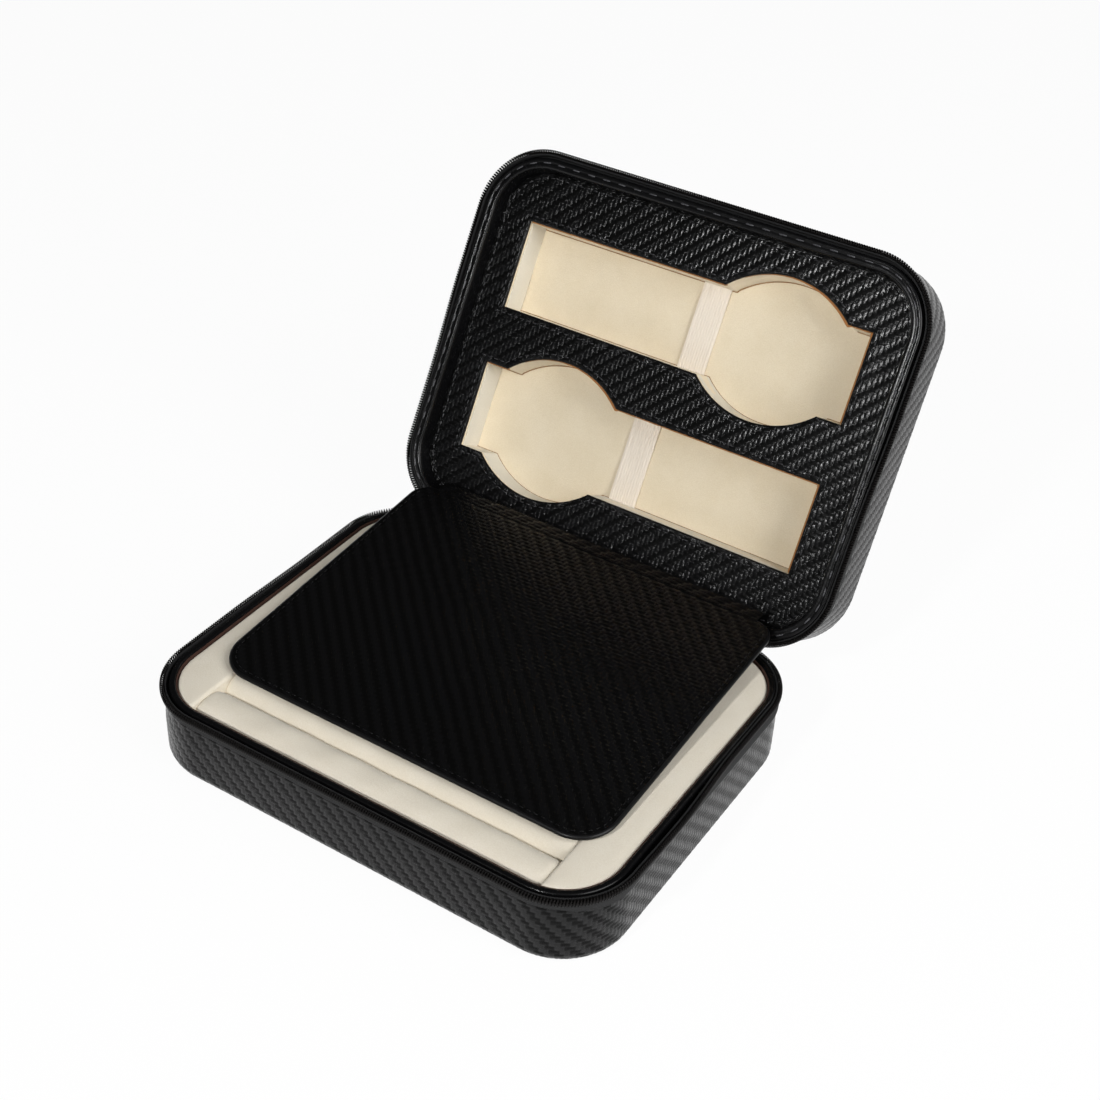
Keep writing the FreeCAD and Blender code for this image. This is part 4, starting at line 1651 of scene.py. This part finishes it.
@dataclass
class Tray:
    """The velvet tray: a padded platform at each side and eight ring rolls between them.

    Attributes:
        edge: from the case's outline to the tray's.
        bay_width: the rolls' length, and gap that between them and each platform.
        floor: the height that everything stands on.
        sagitta: how far a roll's crest stands above its shoulders.
        squeeze: how far each side of a roll presses into the next.
        rounding: the radius of the platforms' edge.
    """

    edge: float = -4.05
    bay_width: float = 154.0
    floor: float = 5.1
    platform_top: float = 32.7
    roll_crest: float = 32.2
    sagitta: float = 5.5
    rolls: int = 8
    gap: float = 0.15
    squeeze: float = 0.08
    rounding: float = 1.5

    def make(self) -> None:
        """Makes both platforms and every roll."""
        for side, name in ((-1, "left"), (1, "right")):
            self.platform(side, name)
        for number in range(self.rolls):
            self.roll(number)

    def platform(self, side: int, name: str) -> None:
        """A padded platform: upright sides, a rounded edge and a slightly crowned top.

        Its loop is the tray's outline on one side of a line beside the roll bay. The edge is
        lofted from that loop, moved inwards, and the top is a sheet that rises with the distance
        from the edge.

        Args:
            side: 1 for the right and -1 for the left.
            name: the side's name, as the node has it.
        """
        inner = self.bay_width / 2 + self.gap
        top, r, foot_inset = self.platform_top, self.rounding, 0.4
        crown, crown_over, wave_over = 0.35, 3.0, 2.0

        def margin(x: Array, y: Array) -> Array:
            """How far places are inside the top sheet."""
            return np.minimum(CASE.inside(x, y) + self.edge, x - inner) - r

        def lift(x: Array, y: Array) -> tuple[Array, None]:
            """The top's height, crowned and a little uneven, and no mark."""
            rise = np.clip(margin(x, y), 0, None)
            wave = 0.12 * ripple(x, y, scale=24.0, seed=31) * np.clip(rise / wave_over, 0, 1)
            return top + crown * (1 - np.exp(-rise / crown_over)) + wave, None

        sides = [(foot_inset, self.floor), (0, self.floor + 1), (0, (self.floor + top) / 2)]
        sides += [(r * (1 - math.cos(a)), top - r + r * math.sin(a))
                  for a in np.radians(np.linspace(0, 90, 6))]
        rows = [at_height(self._platform_loop(inset), z) for inset, z in sides]
        surface = Surface()
        surface.loft(rows)
        surface.fill([self._platform_loop(r)], 0.9, margin, lift)
        face = np.arange(len(rows[0]))[None, ::-1]
        surface.add(rows[0], face, rows[0][face][..., :2])
        if side < 0:
            surface.vertices = [part * (-1, 1, 1) for part in surface.vertices]
            surface.faces = [part[:, ::-1] for part in surface.faces]
            surface.corners = [part[:, ::-1] for part in surface.corners]
        surface.make(f"tray_platform_{name}", IN_BASE, TRAY_VELVET, f"tray_side_{name}",
                     weld=True, fill=0.5)

    def _platform_loop(self, inset: float) -> Array:
        """The right platform's outline seen from above, moved inwards.

        It is the tray's outline beyond a line beside the bay, and then that line.

        Args:
            inset: how far inwards.

        Returns:
            An (N, 2) array, the same length for every inset.
        """
        inner = self.bay_width / 2 + self.gap + inset
        stations = np.linspace(CASE.length / 2, CASE.length, 4000)
        within = stations[CASE.at(stations, self.edge - inset)[0] > inner]
        curve = CASE.points(np.linspace(within[0], within[-1], 230), self.edge - inset)
        cut = np.linspace(curve[-1, 1], curve[0, 1], 170)[1:-1]
        return np.concatenate([curve, np.stack([np.full_like(cut, inner), cut], -1)])

    def roll(self, number: int) -> None:
        """A foam roll in velvet: a round crest on upright sides, drawn in at both ends.

        The section falls from the crest by a power of the distance from the middle. Towards the
        ends it shrinks a little, where the velvet is gathered. Nothing of it passes the tray's
        own outline.

        Args:
            number: the roll's place from the front, from 0.
        """
        pitch = (SIZES.depth + 2 * self.edge) / self.rolls
        middle = (number - (self.rolls - 1) / 2) * pitch
        half, shoulder = pitch / 2 + self.squeeze, self.roll_crest - self.sagitta
        foot, rings = half * 0.97, 180
        share = np.sin(np.linspace(0.5, -0.5, 25) * math.pi)
        dome = self.roll_crest - self.sagitta * np.abs(share) ** 3
        y = np.concatenate([[foot], half * share, [-foot]])
        z = np.concatenate([[self.floor], dome, [self.floor]])
        t = np.linspace(-1, 1, rings)
        crowding, sharpness = 1.3, 60
        t = np.sign(t) * (1 - (1 - np.abs(t)) ** crowding)
        end = (np.clip(1 - np.abs(t) ** sharpness, 0, 1) ** 0.5)[:, None]
        x = t * (self.bay_width / 2 + self.gap)
        wave = 0.16 * ripple(x[:, None], y[None, :] * 1.5 + 40 * number, scale=22.0, seed=41)
        grid_y = middle + y * (0.98 + 0.02 * end)
        grid_z = self.floor + (z - self.floor) * (0.95 + 0.05 * end)
        grid_z = grid_z + wave * np.clip((grid_z - shoulder) / 3, 0, 1)
        front = CASE.points(np.linspace(CASE.length / 2, CASE.length * 0.75, 400), self.edge)
        limit = -np.interp(np.abs(x), *front.T)[:, None]
        grid = np.stack(np.broadcast_arrays(
            x[:, None], np.clip(grid_y, -limit, limit), grid_z), -1)
        section = np.stack([y, z], -1)
        surface = Surface()
        surface.add_grid(grid, pairs(lengths_along(section, True), x)[..., ::-1],
                         columns_closed=True)
        surface.add_caps(grid.swapaxes(0, 1), section, -1)
        surface.make(f"ring_roll_velvet_{number + 1}", IN_BASE, TRAY_VELVET,
                     f"ring_roll_{number + 1}", weld=True, fill=0.7)


# ---------------------------------------------------------------------------------------------
# The page and the spine


def ray(angle: Array | float, radius: float = 1.0) -> Array:
    """Places at angles round the origin of the side view, as y and z."""
    return np.stack([np.cos(angle), np.sin(angle)], -1) * radius


@dataclass
class Page:
    """The stitched page: twill skin on a board, with a turned edge and a lining beneath.

    Attributes:
        thick: the page's thickness at its axis, and edge_thick that of its edge.
        reach: from the axis to the front edge, and start to the back edge.
        edge: how far the turned edge reaches in on the face.
    """

    width: float = 171.5
    thick: float = 2.8
    edge_thick: float = 2.1
    reach: float = 139.8
    start: float = 4.2
    front_corner: float = 15.5
    back_corner: float = 9.0
    grid: float = 0.6
    fade: float = 0.8
    edge: float = 1.2
    stitch_inset: float = 2.8
    stitch: Stitch = Stitch(3.0, 1.7, 0.22, 0.2)

    def __post_init__(self) -> None:
        """Works out the outline, which lies flat in the closed lid."""
        middle = SIZES.page_axis[0] - (self.start + self.reach) / 2
        corners = (self.back_corner, self.front_corner, self.front_corner, self.back_corner)
        self.outline = Outline(self.width, self.reach - self.start, corners, middle)
        self.top = SIZES.page_axis[1] + self.thick / 2

    def make(self) -> None:
        """Makes the face, the turned edge, the lining and the stitches."""
        self.face()
        self.turned_edge()
        self.lining()
        self.stitches()

    def _lie(self, x: Array, y: Array) -> Array:
        """The page's height above flat: it sags a little towards the front corners."""
        front = np.clip((self.outline.middle_y - y) / (self.outline.depth / 2), 0, 1)
        return 0.15 * ripple(x, y, scale=90.0, seed=51) - 0.25 * front ** 2 * (x / 80) ** 2

    def face(self) -> None:
        """The embossed skin inside the turned edge."""
        margin = self.outline.margin(self.edge)

        def lift(x: Array, y: Array) -> tuple[Array, Array]:
            """The face's height with the relief, and the mark."""
            relief, tow = TWILL.height(x, y, Ribs.FALLING, margin(x, y), self.fade)
            return self.top + relief + self._lie(x, y), tow

        surface = Surface()
        surface.fill([self.outline.loop(CURVE_STEP, -self.edge)], self.grid, margin, lift)
        surface.make("page_skin", ON_PAGE, TWILL_SKIN, "page_cover", "page_board")

    def turned_edge(self) -> None:
        """The skin's edge, turned round the board to the lining: half an ellipse in section."""
        stations = self.outline.stations(CURVE_STEP)
        half = self.edge_thick / 2
        rows = []
        for a in np.radians(np.linspace(-90, 90, 11)):
            loop = self.outline.points(stations, -self.edge + self.edge * math.cos(a))
            rows.append(at_height(loop, self.top - half + half * math.sin(a)
                                  + self._lie(*loop.T)))
        surface = Surface()
        surface.loft(rows)
        surface.make("page_edge", ON_PAGE, EDGE_SKIN)

    def lining(self) -> None:
        """The cloth on the underside, inside the turned edge."""
        def lift(x: Array, y: Array) -> tuple[Array, None]:
            """The underside's height and no mark."""
            return self.top - self.edge_thick + self._lie(x, y), None

        surface = Surface()
        surface.fill([self.outline.loop(3.0, -self.edge)], 3.0, self.outline.margin(self.edge),
                     lift, facing_up=False)
        surface.make("page_lining_cloth", ON_PAGE, LINING, "page_lining")

    def stitches(self) -> None:
        """A row of small stitches along both sides and the front."""
        stations = np.linspace(self.width / 2, self.outline.length - self.width / 2, 500)
        path = self.outline.points(stations, -self.stitch_inset)
        points, along = spaced(at_height(path, self.top + 0.08 + self._lie(*path.T)),
                               self.stitch.pitch, closed=False)
        surface = Surface()
        surface.sew(points, along, UP, self.stitch)
        surface.make("page_stitches", ON_PAGE, FINE_THREAD)


@dataclass
class PageSeam:
    """The twill strip that sews the page to the panel's lower border and bends with it."""

    page: Page
    thick: float = 0.9
    step: float = 0.45

    def make(self) -> None:
        """A section carried along X: along the page, round the page's axis, down to the panel.

        The section is drawn in the open case, where the page's normal and the lid's differ by
        the page's angle. It is a ribbon with a top and an underside.
        """
        axis = np.array(SIZES.open_page_axis)
        lid = math.radians(180 - SIZES.open_angle)
        lying = math.radians(90 + SIZES.page_angle - SIZES.open_angle)
        outer = self.page.thick / 2 + 0.1
        forward, back = ray(lying + math.pi / 2), ray(lid - math.pi / 2)
        page_run = np.arange(self.page.start + 1.3, 0, -self.step)[:, None]
        lid_run = np.arange(self.step, PANEL_FACE - SIZES.page_axis[1] - 0.3, self.step)[:, None]
        top = np.concatenate([
            axis + ray(lying, outer) + page_run * forward,
            axis + ray(np.linspace(lying, lid, 5), outer),
            axis + ray(lid, outer) + lid_run * back])
        normal = np.gradient(top, axis=0)
        normal = np.stack([normal[:, 1], -normal[:, 0]], -1)
        normal /= np.linalg.norm(normal, axis=1)[:, None]
        normal *= np.sign(normal[0] @ ray(lying))
        half = self.page.width / 2 - self.page.back_corner
        x = np.arange(-half, half, self.step)
        down = lengths_along(top)
        edge = np.minimum(half - np.abs(x)[None, :], np.minimum(down, down[-1] - down)[:, None])
        relief, tow = TWILL.height(x[None, :], -down[:, None], Ribs.FALLING, edge,
                                   self.page.fade)
        across = np.broadcast_to(x[:, None], (*relief.shape, 1))
        upper = top[:, None] + normal[:, None] * relief[..., None]
        upper = np.concatenate([across, upper], -1)
        under = np.broadcast_to((top - normal * self.thick)[:, None], (*relief.shape, 2))
        under = np.concatenate([across, under], -1)
        uv = pairs(x, down)
        surface = Surface()
        surface.add_grid(upper[::-1], uv[::-1], tow=tow[::-1])
        surface.add_grid(under, uv)
        surface.add_grid(np.stack([upper[0], under[0]]), uv[:2])
        surface.add_grid(np.stack([under[-1], upper[-1]]), uv[:2])
        for column, order in ((0, 1), (-1, -1)):
            pair = np.stack([upper[:, column], under[:, column]])[::order]
            surface.add_grid(pair, np.stack([uv[:, 0], uv[:, 0] + self.thick]))
        piece = surface.make("page_seam_strip", IN_LID, TWILL_SKIN, "page_seam", weld=True,
                             drawn_open=True)
        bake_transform(piece)


@dataclass
class Spine:
    """The smooth leather strip that joins the halves and bends round the hinge axis.

    Attributes:
        inner: from the case's back to the strip, and thick the strip's thickness.
        setback: from each end of the zip to the strip's end.
        play: how far below the skins' folded tops the strip starts.
    """

    inner: float = 0.05
    thick: float = 1.0
    setback: float = 4.0
    play: float = 0.4

    def make(self) -> None:
        """A closed section carried along X: up the base's wall, round the axis, up the lid's."""
        hinge = np.array(SIZES.hinge)
        wall = SIZES.depth / 2 + self.inner
        flange = MOUTH - SIZES.cover_top - self.play
        lid = math.radians(180 - SIZES.open_angle)
        swing = math.radians(SIZES.open_angle)
        lid_up = np.array([math.sin(swing), math.cos(swing)])
        rise = np.linspace(MOUTH - flange, hinge[1], 7)[:-1]
        run = np.linspace(0, MOUTH + flange - hinge[1], 7)[1:, None]

        def side(offset: float) -> Array:
            """The section's line at an offset from the walls."""
            arc = hinge + ray(np.linspace(math.pi, lid, 9), hinge[0] - wall - offset)
            return np.concatenate([np.stack([np.full_like(rise, wall + offset), rise], -1), arc,
                                   arc[-1] + run * lid_up])

        section = np.concatenate([side(0.0), side(self.thick)[::-1]])
        half, steps = SIZES.zip_end - self.setback, 66
        x = np.linspace(-half, half, steps)
        places = (x[None, :], section[:, :1] * 3, section[:, 1:] * 3)
        wave = 0.1 * ripple(*places, scale=24.0, seed=61)
        grid = np.stack(np.broadcast_arrays(x[None, :], section[:, :1] + wave, section[:, 1:]), -1)
        surface = Surface()
        surface.add_grid(grid, pairs(x, lengths_along(section, True)), rows_closed=True)
        surface.add_caps(grid, section, -1)
        piece = surface.make("spine_strip", IN_BASE, RIM_SKIN, "spine", weld=True,
                             drawn_open=True)
        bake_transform(piece)


# ---------------------------------------------------------------------------------------------
# CAD nodes that stay


class CarriedOver:
    """The CAD nodes whose shape is right as it is: they get a finish."""

    finishes: dict[Finish, tuple[str, ...]] = {
        GREY_BOARD: ("base_bottom_board", "lid_top_board", "tray_floor"),
        BLACK_PAPER: ("base_wall_board", "lid_wall_board"),
        LINER_EDGE: ("base_liner",),
        FOAM: ("well_foam", "lid_padding"),
        METAL: ("zip_stops", "slider_body", "slider_rivet", "zip_pull"),
    }

    def make(self) -> None:
        """Gives each node its finish."""
        for finish, names in self.finishes.items():
            for name in names:
                node = frame["nodes"][name]
                node.data.materials.clear()
                node.data.materials.append(finish.material())
                LOG.info("%-24s CAD node, %s", name, finish.name)


# ---------------------------------------------------------------------------------------------
# The studio


def direction(azimuth: float, elevation: float) -> Vector:
    """The direction from the object, by degrees from -Y towards +X and above the floor."""
    a, e = math.radians(azimuth), math.radians(elevation)
    return Vector((math.sin(a) * math.cos(e), -math.cos(a) * math.cos(e), math.sin(e)))


@dataclass(frozen=True)
class Softbox:
    """A square lamp with a soft cover.

    Attributes:
        name: the lamp's name.
        azimuth: degrees from -Y towards +X.
        elevation: degrees above the floor.
        distance: metres from the object.
        size: metres across.
        watts: its power.
    """

    name: str
    azimuth: float
    elevation: float
    distance: float
    size: float
    watts: float

    def make(self, target: Vector) -> None:
        """Hangs the lamp and turns it to the object.

        Args:
            target: the object's middle.
        """
        back = direction(self.azimuth, self.elevation)
        data = bpy.data.lights.new(self.name, "AREA")
        data.energy, data.size = self.watts, self.size
        lamp = new_object(self.name, data)
        lamp.location = target + back * self.distance
        lamp.rotation_euler = back.to_track_quat("Z", "Y").to_euler()


@dataclass
class Studio:
    """The floor, the lamps and the camera, whose distance and aim are in millimetres."""

    azimuth: float = 31.127
    elevation: float = 36.323
    roll: float = 2.946
    distance: float = 713.98
    lens: float = 58.346
    aim: tuple[float, float, float] = (-7.704, 62.869, 53.758)
    lamps: tuple[Softbox, ...] = (
        Softbox("front_softbox", 0, 35.5, 1.3, 0.11, 8.5),
        Softbox("right_softbox", 80, 30, 1.3, 0.9, 14.5),
        Softbox("overhead_softbox", 40, 75, 1.4, 0.8, 0.5),
        Softbox("back_softbox", 168, 42, 1.2, 0.05, 0.5),
    )

    def make(self) -> None:
        """Makes the floor, the world, the lamps and the camera."""
        self.floor()
        self.world()
        for lamp in self.lamps:
            lamp.make((CAD_BOX[0] + CAD_BOX[1]) / 2)
        self.camera()
        bpy.context.scene.view_settings.view_transform = "Standard"

    def floor(self) -> None:
        """A pale floor that keeps a soft shadow and looks white to the camera and to gloss."""
        reach, low = 30.0, CAD_BOX[0].z - 0.0002
        mesh = bpy.data.meshes.new("studio_floor")
        corners = ((-1, -1), (1, -1), (1, 1), (-1, 1))
        mesh.from_pydata([(x * reach, y * reach, low) for x, y in corners], [], [(0, 1, 2, 3)])
        floor = new_object("studio_floor", mesh)
        material = bpy.data.materials.new("pale_floor_paper")
        tree = emptied(material)
        paper = add_node(tree, "ShaderNodeBsdfDiffuse", {}, {"Color": linear("#fdfdfd")})
        glow = add_node(tree, "ShaderNodeEmission", {}, {"Color": (1, 1, 1, 1), "Strength": 1.0})
        path = add_node(tree, "ShaderNodeLightPath").outputs
        seen = path["Is Camera Ray"]
        for kind in ("Is Glossy Ray", "Is Transmission Ray"):
            seen = add_node(tree, "ShaderNodeMath", {"operation": "MAXIMUM"}, {
                0: seen, 1: path[kind]}).outputs[0]
        share = add_node(tree, "ShaderNodeMath", {"operation": "MULTIPLY"}, {0: seen, 1: 0.95})
        mixed = add_node(tree, "ShaderNodeMixShader", {}, {
            0: share.outputs[0], 1: paper.outputs[0], 2: glow.outputs[0]})
        add_node(tree, "ShaderNodeOutputMaterial", {}, {"Surface": mixed.outputs[0]})
        mesh.materials.append(material)

    def world(self) -> None:
        """A dim room with a white band round the foot of its walls, to all kinds of rays alike.

        The strength falls from the band's to the room's with the direction's height.
        """
        world = bpy.context.scene.world = bpy.data.worlds.new("studio_surround")
        tree = emptied(world)
        place = add_node(tree, "ShaderNodeTexCoord").outputs["Generated"]
        parts = add_node(tree, "ShaderNodeSeparateXYZ", {}, {"Vector": place}).outputs
        low, high = (math.sin(math.radians(angle)) for angle in (3, 7))
        strength = add_node(tree, "ShaderNodeMapRange", {}, {
            "Value": parts["Z"], "From Min": low, "From Max": high, "To Min": 1.0,
            "To Max": 0.05}).outputs["Result"]
        sky = add_node(tree, "ShaderNodeBackground", {}, {
            "Color": (1, 1, 1, 1), "Strength": strength})
        add_node(tree, "ShaderNodeOutputWorld", {}, {"Surface": sky.outputs[0]})

    def camera(self) -> None:
        """The camera, by azimuth from -Y towards +X, elevation, roll and distance."""
        a, r = math.radians(self.azimuth), math.radians(self.roll)
        back = direction(self.azimuth, self.elevation)
        right = Vector((math.cos(a), math.sin(a), 0))
        above = back.cross(right)
        side = right * math.cos(r) + above * math.sin(r)
        head = above * math.cos(r) - right * math.sin(r)
        data = bpy.data.cameras.new("studio_camera")
        data.lens, data.sensor_width, data.clip_start = self.lens, 36.0, 0.01
        camera = bpy.context.scene.camera = new_object("studio_camera", data)
        place = (Vector(self.aim) + back * self.distance) * MM
        turn = Matrix((side, head, back)).transposed().to_4x4()
        camera.matrix_world = Matrix.Translation(place) @ turn


def main() -> None:
    """Builds the case from the shells inwards, and then the studio."""
    logging.basicConfig(level=logging.INFO, format="%(message)s")
    page = Page()
    for part in (
        Shell("base", IN_BASE, face_step=0.9, coil_shift=0.0, corner_bulge=1.3, right_sag=2.0),
        Shell("lid", LID_AS_BASE, face_step=0.6, coil_shift=0.5),
        BaseRim(), LidRim(), WindowPanel(), Tray(), page, PageSeam(page), Spine(),
        CarriedOver(), Studio(),
    ):
        part.make()


if __name__ == "__main__":
    main()
